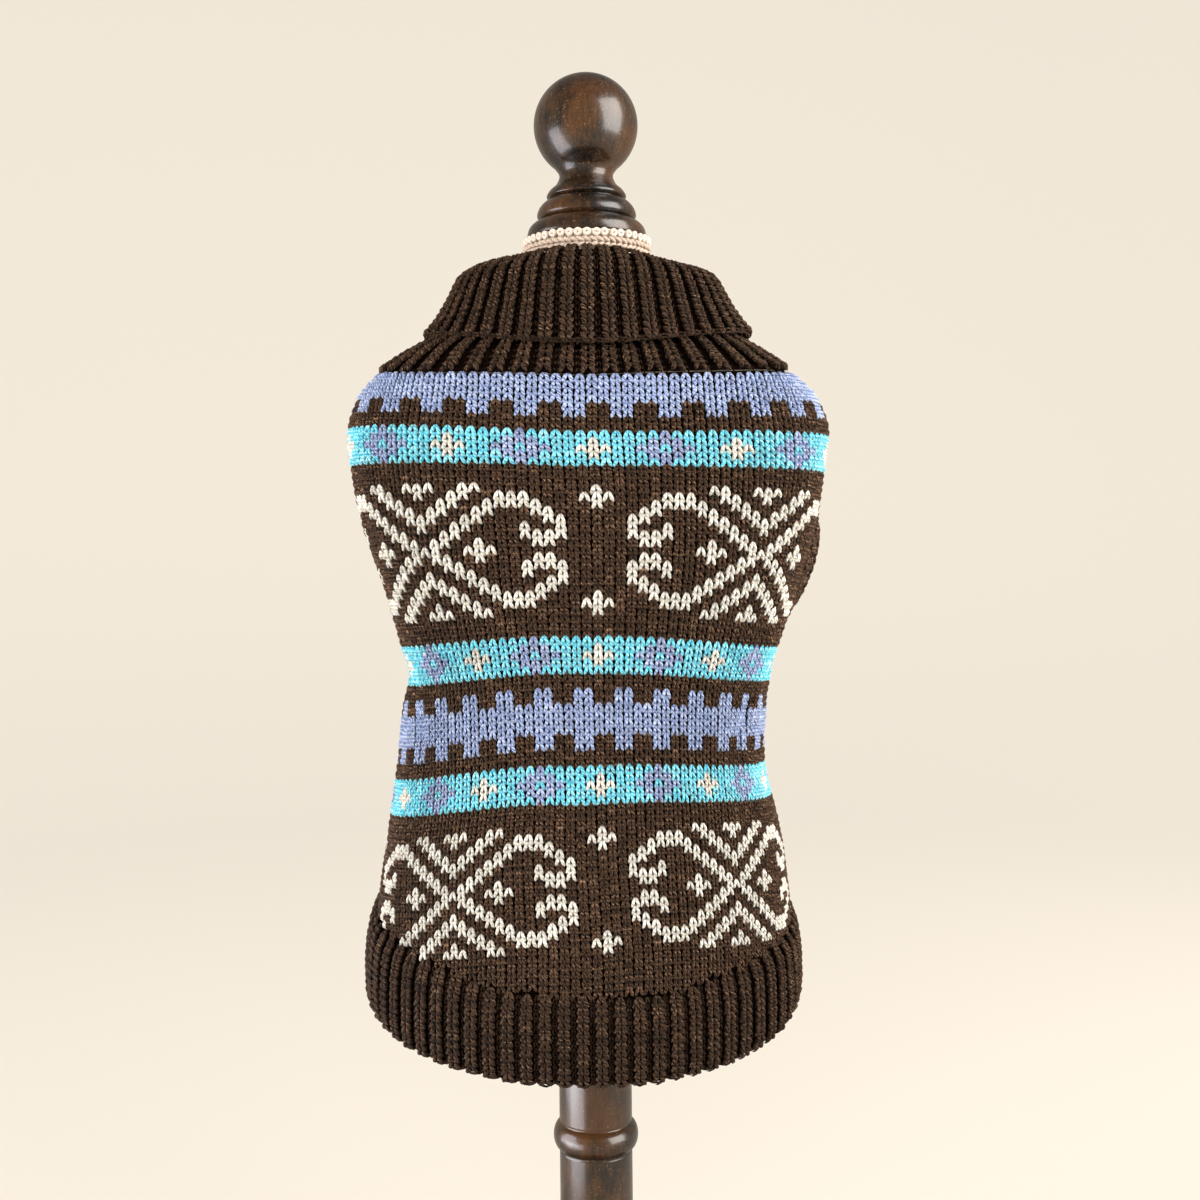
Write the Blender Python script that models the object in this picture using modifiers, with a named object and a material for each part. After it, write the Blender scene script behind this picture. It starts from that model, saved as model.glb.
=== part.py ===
"""Knitted pet sweater worn on a small limbless dress form.

Metres, +Z up.  The origin is the middle of the base's flat underside.  The back
of the sweater faces -Y, +X is to the right of someone looking at that back, and
angles run from -Y towards +X.
"""
import math

import bmesh
import bpy
from mathutils import Vector

MM = 0.001
COLLECTION = "pet_sweater_on_form"

# Cloth walls
JERSEY_WALL = 2.0 * MM
RIB_WALL = 1.6 * MM
RIB_RISE = 1.2 * MM
SEAM_GAP = 0.4 * MM
NECK_SEAM_GAP = 0.8 * MM
FORM_GAP = 1.5 * MM

# Rings of the sweater's outer face are rounded ovals of this power
OVALNESS = 2.4
NECK_OVALNESS = 2.1

# Columns and rows of the plain panels
BACK_COLUMNS = 26
BELLY_COLUMNS = 18
SHOULDER_ROWS = 5
LEG_ROWS = 10
HIP_ROWS = 6

# Side seams and leg openings
SEAM_ANGLE = 106.0
SIDE_RADIUS = 80.0 * MM
LEG_HEIGHT = 340.0 * MM
LEG_HALF_HEIGHT = 27.0 * MM
LEG_REACH = {
    # towards the back panel, towards the belly panel (degrees)
    "right": (23.0, 12.0),
    "left": (11.0, 23.0),
}

# Ribbed pieces
COLLAR_RIBS = 50
HEM_RIBS = 72
CUFF_WIDTH = 10.0 * MM

# Dress form
BALL_RADIUS = 20.8 * MM
BALL_CENTRE = 515.4 * MM
TORSO_BOTTOM = 180.0 * MM
POLE_RADIUS = 14.5 * MM
BEAD_RADIUS = 16.9 * MM
BEAD_HEIGHT = 113.0 * MM
BEAD_HALF = 5.2 * MM
BEAD_GROOVE = 0.6 * MM
BASE_RADIUS = 98.0 * MM
BASE_THICKNESS = 22.0 * MM
BASE_EDGE = 5.5 * MM
SMALL_GAP = 0.3 * MM
TORSO_COLUMNS = 40

# Outer face of the worn sweater, ring by ring (mm):
# height, half width, depth of the back half, depth of the belly half, shift to +X
BODY_RINGS = (
    (140.0, 83.0, 62.5, 67.0, -4.2),
    (186.0, 82.8, 62.5, 67.0, -4.2),
    (214.0, 80.8, 61.5, 66.0, -3.6),
    (238.0, 77.4, 60.0, 64.0, -3.5),
    (262.0, 73.0, 58.0, 60.0, -4.4),
    (286.0, 72.2, 56.5, 57.0, -2.6),
    (298.0, 71.8, 56.4, 57.8, -0.4),
    (310.0, 75.4, 57.0, 60.0, -0.2),
    (334.0, 82.6, 59.0, 66.0, 0.4),
    (358.0, 90.2, 60.2, 71.0, -0.2),
    (382.0, 94.2, 60.8, 73.0, -0.4),
    (394.0, 95.0, 60.4, 72.0, -0.3),
    (406.0, 90.6, 58.2, 69.0, -1.0),
    (412.0, 85.4, 56.2, 66.0, -1.6),
    (418.0, 78.8, 53.2, 62.0, -2.0),
    (424.0, 69.4, 49.2, 56.0, -2.0),
    (430.0, 58.6, 43.6, 48.5, -1.0),
    (435.0, 49.0, 38.0, 41.0, -0.3),
    (440.0, 38.5, 33.0, 34.5, 0.0),
    (446.0, 31.6, 29.6, 30.2, 0.0),
    (455.0, 28.8, 28.0, 28.2, 0.0),
    (466.0, 28.4, 27.8, 27.8, 0.0),
)

# Edges of the panels: angle from the middle of the back (degrees), height (mm)
NECK_SEAM = ((0, 409.6), (45, 412.0), (90, 416.5), (135, 415.0), (180, 412.0))
HEM_SEAM = ((0, 186.0), (26, 187.0), (57, 197.0), (80, 203.5), (110, 214.0), (145, 229.0), (180, 236.0))
HEM_EDGE = ((0, 154.8), (20, 155.6), (30, 157.2), (45, 160.2), (60, 165.0), (75, 171.0), (110, 184.5),
            (145, 198.0), (180, 204.0))
HEM_TILT = 2.5 * MM
HEM_EDGE_TILT = 1.0 * MM

# Turned-down layer of the collar, middle of its wall (mm):
# height at the back and belly, height at the sides, half width, depth of back, depth of belly
COLLAR_FOLD = (
    (452.0, 452.0, 28.0, 27.4, 27.4),
    (456.4, 457.2, 28.8, 28.0, 28.0),
    (458.9, 460.2, 31.4, 30.6, 30.4),
    (459.3, 461.2, 36.0, 35.0, 34.5),
    (457.8, 460.0, 44.0, 42.4, 41.2),
    (452.8, 455.0, 50.2, 47.4, 46.3),
    (446.0, 447.2, 53.4, 49.8, 48.6),
    (434.5, 438.4, 58.0, 52.4, 53.4),
    (421.8, 430.6, 64.2, 55.0, 60.0),
)
# Standing layer: shares of the way from the neck seam to the neck tube
COLLAR_YOKE = (0.0, 0.3, 0.6, 0.84)
NECK_TUBE_FOOT = 446.0 * MM

# Hem band: share of its width, how far its outer and inner faces stand out (mm)
HEM_PROFILE = (
    (0.0, 0.4, -2.0),
    (0.18, 2.8, -0.6),
    (0.82, 3.2, 0.3),
    (1.0, 2.0, 0.4),
)

# Heights of the torso's rings inside the sweater (mm)
TORSO_HEIGHTS = (183.5, 215, 245, 270, 290, 300, 311, 328, 350, 370, 387, 399, 408, 416, 423, 429, 434, 439)
# Round rings of the torso's neck (mm): radius, height
NECK_RINGS = ((28.4, 445.0), (25.4, 451.0), (24.0, 457.0), (23.4, 461.0), (23.4, 469.6))
TORSO_FOOT_INSET = 4.0 * MM

# Turned outlines (mm): radius, height, top to bottom
CAP_OUTLINE = (
    (10.9, 496.5), (10.8, 494.5), (12.2, 491.6), (14.6, 489.4), (15.9, 487.0), (15.6, 485.6),
    (16.6, 485.0), (18.8, 482.4), (19.8, 479.2), (19.5, 477.2), (20.6, 476.6), (22.9, 474.2), (23.7, 471.6),
    (23.5, 470.0),
)
BASE_TOP = ((19.0, 22.0), (24.0, 20.0), (30.0, 18.5), (86.0, 15.5), (93.0, 13.5))
BRAID_OUTLINE = (
    (23.7, 469.6), (24.8, 470.0), (25.7, 468.8), (25.8, 467.2), (24.9, 466.0), (25.8, 465.0), (26.0, 463.2),
    (25.2, 461.8), (23.9, 461.6), (23.7, 462.6),
)


def smooth_value(table, x, column):
    """Cubic curve through one column of a table whose first column rises."""
    last = len(table) - 1
    x = min(max(x, table[0][0]), table[last][0])
    i = 0
    while i < last - 1 and x > table[i + 1][0]:
        i += 1

    def slope(k):
        before, after = max(k - 1, 0), min(k + 1, last)
        return (table[after][column] - table[before][column]) / (table[after][0] - table[before][0])

    x0, x1 = table[i][0], table[i + 1][0]
    y0, y1 = table[i][column], table[i + 1][column]
    step = x1 - x0
    t = (x - x0) / step
    return ((2 * t ** 3 - 3 * t ** 2 + 1) * y0 + (t ** 3 - 2 * t ** 2 + t) * step * slope(i)
            + (3 * t ** 2 - 2 * t ** 3) * y1 + (t ** 3 - t ** 2) * step * slope(i + 1))


def oval_radius(angle, half_width, back_depth, belly_depth, power):
    """Distance from the middle of an oval ring to its edge at an angle."""
    across = abs(math.sin(angle)) / half_width
    depth = back_depth if math.cos(angle) > 0 else belly_depth
    along = abs(math.cos(angle)) / depth
    return (across ** power + along ** power) ** (-1.0 / power)


def body_point(angle, height):
    """Point on the outer face of the worn sweater."""
    z = height / MM
    half_width, back, belly, shift = (smooth_value(BODY_RINGS, z, k) * MM for k in (1, 2, 3, 4))
    neckward = min(max((z - 418.0) / 22.0, 0.0), 1.0)
    power = OVALNESS + (NECK_OVALNESS - OVALNESS) * neckward
    radius = oval_radius(angle, half_width, back, belly, power)
    return Vector((shift + radius * math.sin(angle), -radius * math.cos(angle), height))


def body_normal(angle, height):
    """Outward direction of the sweater's outer face."""
    da, dz = 0.002, 0.2 * MM
    along = body_point(angle + da, height) - body_point(angle - da, height)
    up = body_point(angle, height + dz) - body_point(angle, height - dz)
    return along.cross(up).normalized()


def worn_point(angle, height, out):
    """Point standing out from the sweater's outer face by a distance."""
    return body_point(angle, height) + body_normal(angle, height) * out


def edge_height(table, angle):
    """Height of a seam or edge at an angle, in metres."""
    degrees = abs(math.degrees(math.remainder(angle, 2 * math.pi)))
    return smooth_value(table, degrees, 1) * MM


def hem_seam(angle):
    return edge_height(HEM_SEAM, angle) - HEM_TILT * math.sin(angle)


def hem_edge(angle):
    return edge_height(HEM_EDGE, angle) - HEM_EDGE_TILT * math.sin(angle)


def even_angles(count, ring_point):
    """Angles that part a ring into equal lengths, from the middle of the back."""
    samples = 720
    ring = [ring_point(2 * math.pi * k / samples) for k in range(samples + 1)]
    length = [0.0]
    for k in range(samples):
        length.append(length[-1] + (ring[k + 1] - ring[k]).length)
    angles, k = [], 0
    for i in range(count):
        wanted = length[-1] * i / count
        while length[k + 1] < wanted:
            k += 1
        share = (wanted - length[k]) / (length[k + 1] - length[k])
        angles.append(2 * math.pi * (k + share) / samples)
    return angles


def make_material(name, colour, roughness, metallic=0.0):
    material = bpy.data.materials.new(name)
    material.use_nodes = True
    shader = material.node_tree.nodes["Principled BSDF"]
    shader.inputs["Base Color"].default_value = (*colour, 1.0)
    shader.inputs["Roughness"].default_value = roughness
    shader.inputs["Metallic"].default_value = metallic
    return material


def add_object(name, mesh, material, collection):
    mesh.materials.append(material)
    mesh.shade_smooth()
    item = bpy.data.objects.new(name, mesh)
    collection.objects.link(item)
    return item


def wall_mesh(name, outer, inner, looped):
    """Closed wall between an outer and an inner grid of points, rows by columns."""
    bm = bmesh.new()
    faces = [[[bm.verts.new(point) for point in row] for row in grid] for grid in (outer, inner)]
    rows, columns = len(outer), len(outer[0])
    spans = columns if looped else columns - 1
    top, under = faces
    for i in range(rows - 1):
        for j in range(spans):
            k = (j + 1) % columns
            bm.faces.new((top[i][j], top[i][k], top[i + 1][k], top[i + 1][j]))
            bm.faces.new((under[i][j], under[i + 1][j], under[i + 1][k], under[i][k]))
    for j in range(spans):
        k = (j + 1) % columns
        bm.faces.new((top[0][k], top[0][j], under[0][j], under[0][k]))
        bm.faces.new((top[-1][j], top[-1][k], under[-1][k], under[-1][j]))
    if not looped:
        for i in range(rows - 1):
            bm.faces.new((top[i][0], top[i + 1][0], under[i + 1][0], under[i][0]))
            bm.faces.new((top[i + 1][-1], top[i][-1], under[i][-1], under[i + 1][-1]))
    bmesh.ops.recalc_face_normals(bm, faces=bm.faces)
    mesh = bpy.data.meshes.new(name)
    bm.to_mesh(mesh)
    bm.free()
    return mesh


def panel_height(angle, share):
    """Height on a panel at a share of the way from its neck seam to its hem seam."""
    top = edge_height(NECK_SEAM, angle) - SEAM_GAP / 2
    bottom = hem_seam(angle) + SEAM_GAP / 2
    return top + (bottom - top) * share


def leg_shares():
    """Shares of a panel's height beside the leg opening, closer together at its top and foot."""
    seam = math.radians(SEAM_ANGLE)
    top, bottom = panel_height(seam, 0.0), panel_height(seam, 1.0)
    heights = [LEG_HEIGHT + LEG_HALF_HEIGHT * math.cos(math.pi * i / LEG_ROWS) for i in range(LEG_ROWS + 1)]
    return [(top - height) / (top - bottom) for height in heights]


def panel_shares():
    """Shares of a panel's height, closer together over the shoulders and beside the leg opening."""
    legs = leg_shares()
    shoulder = [legs[0] * (i / SHOULDER_ROWS) ** 1.3 for i in range(SHOULDER_ROWS)]
    hip = [legs[-1] + (1.0 - legs[-1]) * i / HIP_ROWS for i in range(1, HIP_ROWS + 1)]
    return shoulder + legs + hip


def side_angle(seam, share, reach, inward):
    """Angle (degrees) of a panel's side edge, which curves in round the leg opening."""
    top, bottom = leg_shares()[0], leg_shares()[-1]
    across = (2.0 * share - top - bottom) / (bottom - top)
    return seam + inward * reach * math.sqrt(max(0.0, 1.0 - across * across))


def panel_grids(left, right, columns, reaches):
    """Outer and inner points of a panel between two side seams (degrees)."""
    outer, inner = [], []
    for share in panel_shares():
        gap = math.degrees(SEAM_GAP / 2 / SIDE_RADIUS)
        first = side_angle(left, share, reaches[0], 1.0) + gap
        last = side_angle(right, share, reaches[1], -1.0) - gap
        angles = [math.radians(first + (last - first) * j / columns) for j in range(columns + 1)]
        places = [(angle, panel_height(angle, share)) for angle in angles]
        outer.append([worn_point(angle, height, 0.0) for angle, height in places])
        inner.append([worn_point(angle, height, -JERSEY_WALL) for angle, height in places])
    return outer, inner


def make_panels(material, collection):
    """Back panel and belly panel, knitted flat and joined at the side seams."""
    back = panel_grids(-SEAM_ANGLE, SEAM_ANGLE, BACK_COLUMNS, (LEG_REACH["left"][0], LEG_REACH["right"][0]))
    add_object("back_panel", wall_mesh("back_panel", *back, False), material, collection)
    belly = panel_grids(SEAM_ANGLE, 360.0 - SEAM_ANGLE, BELLY_COLUMNS,
                        (LEG_REACH["right"][1], LEG_REACH["left"][1]))
    add_object("belly_panel", wall_mesh("belly_panel", *belly, False), material, collection)


def collar_path(angle):
    """Middle of the collar's wall at an angle: radius and height from seam to turned-down edge."""
    seam = edge_height(NECK_SEAM, angle) + NECK_SEAM_GAP - SEAM_GAP / 2
    path = []
    for share in COLLAR_YOKE:
        height = seam + (NECK_TUBE_FOOT - seam) * share
        point = worn_point(angle, height, -RIB_WALL / 2)
        path.append((math.hypot(point.x, point.y), point.z))
    aside = math.sin(angle) ** 2
    for back_height, side_height, half_width, back, belly in COLLAR_FOLD:
        radius = oval_radius(angle, half_width, back, belly, NECK_OVALNESS) * MM
        path.append((radius, (back_height + (side_height - back_height) * aside) * MM))
    return path


def collar_edge_point(angle):
    """Point on the collar's turned-down edge, looked at from above."""
    half_width, back, belly = COLLAR_FOLD[-1][2:]
    radius = oval_radius(angle, half_width, back, belly, NECK_OVALNESS) * MM
    return Vector((radius * math.sin(angle), -radius * math.cos(angle), 0.0))


def make_collar(material, collection):
    """Ribbed collar: stands round the neck, folds over and comes down again."""
    columns = COLLAR_RIBS * 2
    turn = len(COLLAR_YOKE) + 2
    count = len(COLLAR_YOKE) + len(COLLAR_FOLD)
    outer = [[] for _ in range(count)]
    inner = [[] for _ in range(count)]
    for j, angle in enumerate(even_angles(columns, collar_edge_point)):
        path = collar_path(angle)
        crest = RIB_RISE if j % 2 == 0 else 0.0
        for i in range(count):
            before, after = path[max(i - 1, 0)], path[min(i + 1, count - 1)]
            run, rise = after[0] - before[0], after[1] - before[1]
            size = math.hypot(run, rise)
            aside = (rise / size, -run / size)
            # The wall's first face looks out on the standing layer and in on the turned-down one
            out_lift = RIB_WALL / 2 + (crest if i < len(COLLAR_YOKE) else 0.0)
            in_lift = RIB_WALL / 2 + (crest if i >= turn else 0.0)
            for grid, lift in ((outer, out_lift), (inner, -in_lift)):
                radius = path[i][0] + aside[0] * lift
                height = path[i][1] + aside[1] * lift
                grid[i].append(Vector((radius * math.sin(angle), -radius * math.cos(angle), height)))
    add_object("collar", wall_mesh("collar", outer, inner, True), material, collection)


def make_hem_band(material, collection):
    """Ribbed band round the curved lower edge of both panels."""
    outer, inner = [], []
    angles = even_angles(HEM_RIBS * 2, lambda angle: body_point(angle, 186.0 * MM))
    for share, stand, inside in HEM_PROFILE:
        rows = ([], [])
        for j, angle in enumerate(angles):
            top = hem_seam(angle) - SEAM_GAP / 2
            height = top + (hem_edge(angle) - top) * share
            crest = RIB_RISE if j % 2 == 0 else 0.0
            rows[0].append(worn_point(angle, height, stand * MM - RIB_RISE / 2 + crest))
            rows[1].append(worn_point(angle, height, inside * MM))
        outer.append(rows[0])
        inner.append(rows[1])
    add_object("hem_band", wall_mesh("hem_band", outer, inner, True), material, collection)


def leg_rim(side):
    """Angles and heights round a leg opening: down the back panel's edge, up the belly panel's."""
    sign = 1.0 if side == "right" else -1.0
    seam = sign * SEAM_ANGLE
    rim = []
    for reach, inward, shares in (
        (LEG_REACH[side][0], -sign, leg_shares()[:-1]),
        (LEG_REACH[side][1], sign, leg_shares()[:0:-1]),
    ):
        for share in shares:
            angle = math.radians(side_angle(seam, share, reach, inward))
            rim.append((angle, panel_height(angle, share)))
    return rim


def make_leg_cuff(side, material, collection):
    """Ribbed band sewn round a leg opening, turned a little outwards."""
    sign = 1.0 if side == "right" else -1.0
    back_reach, belly_reach = LEG_REACH[side]
    middle = math.radians(sign * (SEAM_ANGLE + (belly_reach - back_reach) / 2))
    centre = worn_point(middle, LEG_HEIGHT, 0.0)
    steps = 3
    outer = [[] for _ in range(steps + 1)]
    inner = [[] for _ in range(steps + 1)]
    rim = leg_rim(side)
    for j in range(len(rim) * 2):
        # A groove lies midway between two ribs, on the straight line between their feet
        ends = [rim[(j // 2 + k) % len(rim)] for k in ((0, 1) if j % 2 else (0, 0))]
        normal = sum((body_normal(*end) for end in ends), Vector()).normalized()
        place = sum((worn_point(*end, 0.0) for end in ends), Vector()) / 2
        inward = centre - place
        inward = (inward - normal * inward.dot(normal)).normalized()
        place = place + inward * SEAM_GAP * 1.5
        crest = RIB_RISE if j % 2 == 0 else 0.0
        for i in range(steps + 1):
            lean = math.radians(90.0 - 42.0 * i / steps)
            ahead = normal * math.cos(lean) + inward * math.sin(lean)
            aside = normal * math.sin(lean) - inward * math.cos(lean)
            outer[i].append(place + aside * (crest if i else 0.0))
            inner[i].append(place - aside * (JERSEY_WALL if i == 0 else RIB_WALL))
            place = place + ahead * (CUFF_WIDTH / steps)
    add_object(f"leg_cuff_{side}", wall_mesh(f"leg_cuff_{side}", outer, inner, True), material, collection)


def turned_mesh(name, outline, sides, closed_ends):
    """Profile turned about the upright axis with a Screw modifier, top to bottom at +X."""
    mesh = bpy.data.meshes.new(name)
    points = [(radius, 0.0, height) for radius, height in outline]
    edges = [(i, i + 1) for i in range(len(points) - 1)]
    if not closed_ends:
        edges.append((len(points) - 1, 0))
    mesh.from_pydata(points, edges, [])
    item = bpy.data.objects.new(name, mesh)
    screw = item.modifiers.new("turned", "SCREW")
    screw.axis = "Z"
    screw.angle = 2 * math.pi
    screw.steps = sides
    screw.render_steps = sides
    screw.use_merge_vertices = True
    screw.merge_threshold = 0.00001
    return item


def add_turned(name, outline, sides, closed_ends, material, collection):
    item = turned_mesh(name, outline, sides, closed_ends)
    item.data.materials.append(material)
    collection.objects.link(item)
    return item


def make_torso(material, collection):
    """Padded body of the form, a smooth oval solid just inside the sweater."""
    inset = JERSEY_WALL + FORM_GAP
    columns = TORSO_COLUMNS
    angles = even_angles(columns, lambda angle: body_point(angle, 330.0 * MM))
    rings = [[worn_point(angle, TORSO_BOTTOM, -inset - TORSO_FOOT_INSET) for angle in angles]]
    rings += [[worn_point(angle, height * MM, -inset) for angle in angles] for height in TORSO_HEIGHTS]
    for radius, height in NECK_RINGS:
        rings.append([Vector((radius * math.sin(angle), -radius * math.cos(angle), height)) * MM
                      for angle in angles])
    bm = bmesh.new()
    loops = [[bm.verts.new(point) for point in ring] for ring in rings]
    for low, high in zip(loops, loops[1:]):
        for j in range(columns):
            k = (j + 1) % columns
            bm.faces.new((low[j], low[k], high[k], high[j]))
    bm.faces.new(loops[0][::-1])
    bm.faces.new(loops[-1])
    bmesh.ops.recalc_face_normals(bm, faces=bm.faces)
    mesh = bpy.data.meshes.new("form_torso")
    bm.to_mesh(mesh)
    bm.free()
    add_object("form_torso", mesh, material, collection)


def make_finial(material, collection):
    """Turned cap with three steps and a ball, one piece of wood."""
    outline = [(0.0, BALL_CENTRE + BALL_RADIUS)]
    start, end, steps = 15.0, 149.0, 10
    for i in range(steps + 1):
        tilt = math.radians(start + (end - start) * i / steps)
        outline.append((BALL_RADIUS * math.sin(tilt), BALL_CENTRE + BALL_RADIUS * math.cos(tilt)))
    outline += [(radius * MM, height * MM) for radius, height in CAP_OUTLINE]
    outline.append((0.0, CAP_OUTLINE[-1][1] * MM))
    add_turned("form_finial", outline, 24, True, material, collection)


def make_braid(material, collection):
    """Narrow gimp braid glued round the top of the neck."""
    outline = [(radius * MM, height * MM) for radius, height in BRAID_OUTLINE]
    add_turned("neck_braid", outline, 28, False, material, collection)


def make_pole(material, collection):
    """Turned pole with one bead between two fine grooves, standing in the base."""
    top, foot = TORSO_BOTTOM - SMALL_GAP, BASE_THICKNESS + SMALL_GAP
    groove = POLE_RADIUS - BEAD_GROOVE
    stand = BEAD_RADIUS - groove
    outline = [(0.0, top), (POLE_RADIUS, top), (POLE_RADIUS, BEAD_HEIGHT + BEAD_HALF + BEAD_GROOVE * 1.5)]
    steps = 6
    for i in range(steps + 1):
        tilt = math.pi * i / steps
        outline.append((groove + stand * math.sin(tilt), BEAD_HEIGHT + BEAD_HALF * math.cos(tilt)))
    outline += [(POLE_RADIUS, BEAD_HEIGHT - BEAD_HALF - BEAD_GROOVE * 1.5), (POLE_RADIUS, foot), (0.0, foot)]
    add_turned("form_pole", outline, 24, True, material, collection)


def make_base(material, collection):
    """Plain round base, turned, flat underneath."""
    outline = [(0.0, BASE_THICKNESS)] + [(radius * MM, height * MM) for radius, height in BASE_TOP]
    across, up = BASE_RADIUS - BASE_EDGE, BASE_EDGE * 1.25
    steps = 4
    for i in range(steps + 1):
        tilt = math.radians(70.0 - 150.0 * i / steps)
        outline.append((across + BASE_EDGE * math.cos(tilt), up + BASE_EDGE * math.sin(tilt)))
    outline += [(across, 0.0), (0.0, 0.0)]
    add_turned("form_base", outline, 32, True, material, collection)


def build():
    for item in list(bpy.data.objects):
        bpy.data.objects.remove(item, do_unlink=True)
    collection = bpy.data.collections.new(COLLECTION)
    bpy.context.scene.collection.children.link(collection)
    jersey = make_material("patterned_wool_jersey", (0.045, 0.022, 0.014), 0.95)
    ribbing = make_material("brown_wool_ribbing", (0.045, 0.022, 0.014), 0.95)
    linen = make_material("cream_linen", (0.78, 0.70, 0.56), 0.9)
    gimp = make_material("cream_gimp", (0.80, 0.70, 0.60), 0.8)
    walnut = make_material("dark_lacquered_wood", (0.035, 0.018, 0.010), 0.25)
    make_panels(jersey, collection)
    make_collar(ribbing, collection)
    make_hem_band(ribbing, collection)
    for side in ("left", "right"):
        make_leg_cuff(side, ribbing, collection)
    make_torso(linen, collection)
    make_braid(gimp, collection)
    make_finial(walnut, collection)
    make_pole(walnut, collection)
    make_base(walnut, collection)


build()
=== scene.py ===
import math

import bmesh
import bpy
import numpy as np
from mathutils import Matrix, Vector


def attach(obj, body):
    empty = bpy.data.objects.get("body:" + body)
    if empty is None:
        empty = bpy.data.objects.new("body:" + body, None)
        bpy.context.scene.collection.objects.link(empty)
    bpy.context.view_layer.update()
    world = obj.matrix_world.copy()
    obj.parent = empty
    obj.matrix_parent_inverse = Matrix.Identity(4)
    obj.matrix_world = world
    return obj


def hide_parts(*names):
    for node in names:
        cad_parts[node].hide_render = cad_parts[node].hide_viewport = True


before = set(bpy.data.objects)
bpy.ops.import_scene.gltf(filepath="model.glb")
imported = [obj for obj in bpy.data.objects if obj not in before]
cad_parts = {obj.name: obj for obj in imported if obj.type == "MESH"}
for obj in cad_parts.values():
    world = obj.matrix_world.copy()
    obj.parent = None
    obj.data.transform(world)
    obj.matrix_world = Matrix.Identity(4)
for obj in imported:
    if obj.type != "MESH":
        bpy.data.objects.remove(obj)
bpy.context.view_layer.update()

# Back panel
# The back of the sweater is one panel of wool jersey, knitted flat in stranded colour work.
# It is worked from the neck down, so each stitch stands as an arch with its two legs below.
# Its neck, sides and curved lower edge are seamed to the collar, the belly panel and the hem band.
MM = 0.001
rng = np.random.default_rng(41)

# Outer face of the worn sweater (mm):
# height, half width, depth of back, depth of belly, shift to +X
BODY_RINGS = (
    (140, 83.0, 62.5, 67.0, -4.2), (186, 82.8, 62.5, 67.0, -4.2), (214, 80.8, 61.5, 66.0, -3.6),
    (238, 77.4, 60.0, 64.0, -3.5), (262, 73.0, 58.0, 60.0, -4.4), (286, 72.2, 56.5, 57.0, -2.6),
    (298, 71.8, 56.4, 57.8, -0.4), (310, 75.4, 57.0, 60.0, -0.2), (334, 82.6, 59.0, 66.0, 0.4),
    (358, 90.2, 60.2, 71.0, -0.2), (382, 94.2, 60.8, 73.0, -0.4), (394, 95.0, 60.4, 72.0, -0.3),
    (406, 90.6, 58.2, 69.0, -1.0), (412, 85.4, 56.2, 66.0, -1.6), (418, 78.8, 53.2, 62.0, -2.0),
    (424, 69.4, 49.2, 56.0, -2.0), (430, 58.6, 43.6, 48.5, -1.0), (435, 49.0, 38.0, 41.0, -0.3),
    (440, 38.5, 33.0, 34.5, 0.0), (446, 31.6, 29.6, 30.2, 0.0), (455, 28.8, 28.0, 28.2, 0.0),
    (466, 28.4, 27.8, 27.8, 0.0),
)
# Heights of the seams under the collar and over the hem band (angle from the middle of the back, mm)
NECK_SEAM = ((0, 409.6), (45, 412.0), (90, 416.5), (135, 415.0), (180, 412.0))
HEM_SEAM = ((0, 186), (26, 187), (57, 197), (80, 203.5), (110, 214), (145, 229), (180, 236))
# How far the hem hangs lower on the right and higher on the left, and the gap left in a seam (mm)
HEM_TILT = 2.5
SEAM_GAP = 0.4
# Side seams (degrees from the middle of the back)
SEAM_ANGLE = 106.0
# Leg openings: middle and half height (mm), then reach into the back and into the belly (degrees)
LEG_HEIGHT = 340.0
LEG_HALF_HEIGHT = 27.0
LEG_REACH = {"right": (23.0, 12.0), "left": (11.0, 23.0)}


def curve_value(table, x, column):
    """Smooth curve through one column of a table whose first column rises."""
    table = np.asarray(table, float)
    xs, ys = table[:, 0], table[:, column]
    slopes = np.empty(len(xs))
    slopes[1:-1] = (ys[2:] - ys[:-2]) / (xs[2:] - xs[:-2])
    slopes[0] = (ys[1] - ys[0]) / (xs[1] - xs[0])
    slopes[-1] = (ys[-1] - ys[-2]) / (xs[-1] - xs[-2])
    x = np.clip(x, xs[0], xs[-1])
    k = np.clip(np.searchsorted(xs, x) - 1, 0, len(xs) - 2)
    step = xs[k + 1] - xs[k]
    t = (x - xs[k]) / step
    return ((2 * t ** 3 - 3 * t ** 2 + 1) * ys[k] + (t ** 3 - 2 * t ** 2 + t) * step * slopes[k]
            + (3 * t ** 2 - 2 * t ** 3) * ys[k + 1] + (t ** 3 - t ** 2) * step * slopes[k + 1])


def oval_radius(angle, half_width, back, belly, power):
    """Distance from the middle of an oval ring to its edge."""
    depth = np.where(np.cos(angle) > 0, back, belly)
    across = np.abs(np.sin(angle)) / half_width
    along = np.abs(np.cos(angle)) / depth
    return (across ** power + along ** power) ** (-1.0 / power)


def body_point(angle, height):
    """Points on the outer face of the worn sweater, from angles and heights in mm."""
    half_width, back, belly, shift = (curve_value(BODY_RINGS, height, k) for k in (1, 2, 3, 4))
    # The body's rings are squarish, and turn rounder over the shoulder to the neck
    power = 2.4 - 0.3 * np.clip((height - 418.0) / 22.0, 0.0, 1.0)
    radius = oval_radius(angle, half_width, back, belly, power)
    return np.stack([shift + radius * np.sin(angle), -radius * np.cos(angle), height], -1)


def unit(vectors):
    """Vectors made one long."""
    return vectors / np.linalg.norm(vectors, axis=-1, keepdims=True)


def body_normal(angle, height):
    """Direction straight out of the worn sweater."""
    along = body_point(angle + 0.002, height) - body_point(angle - 0.002, height)
    up = body_point(angle, height + 0.2) - body_point(angle, height - 0.2)
    return unit(np.cross(along, up))


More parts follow.
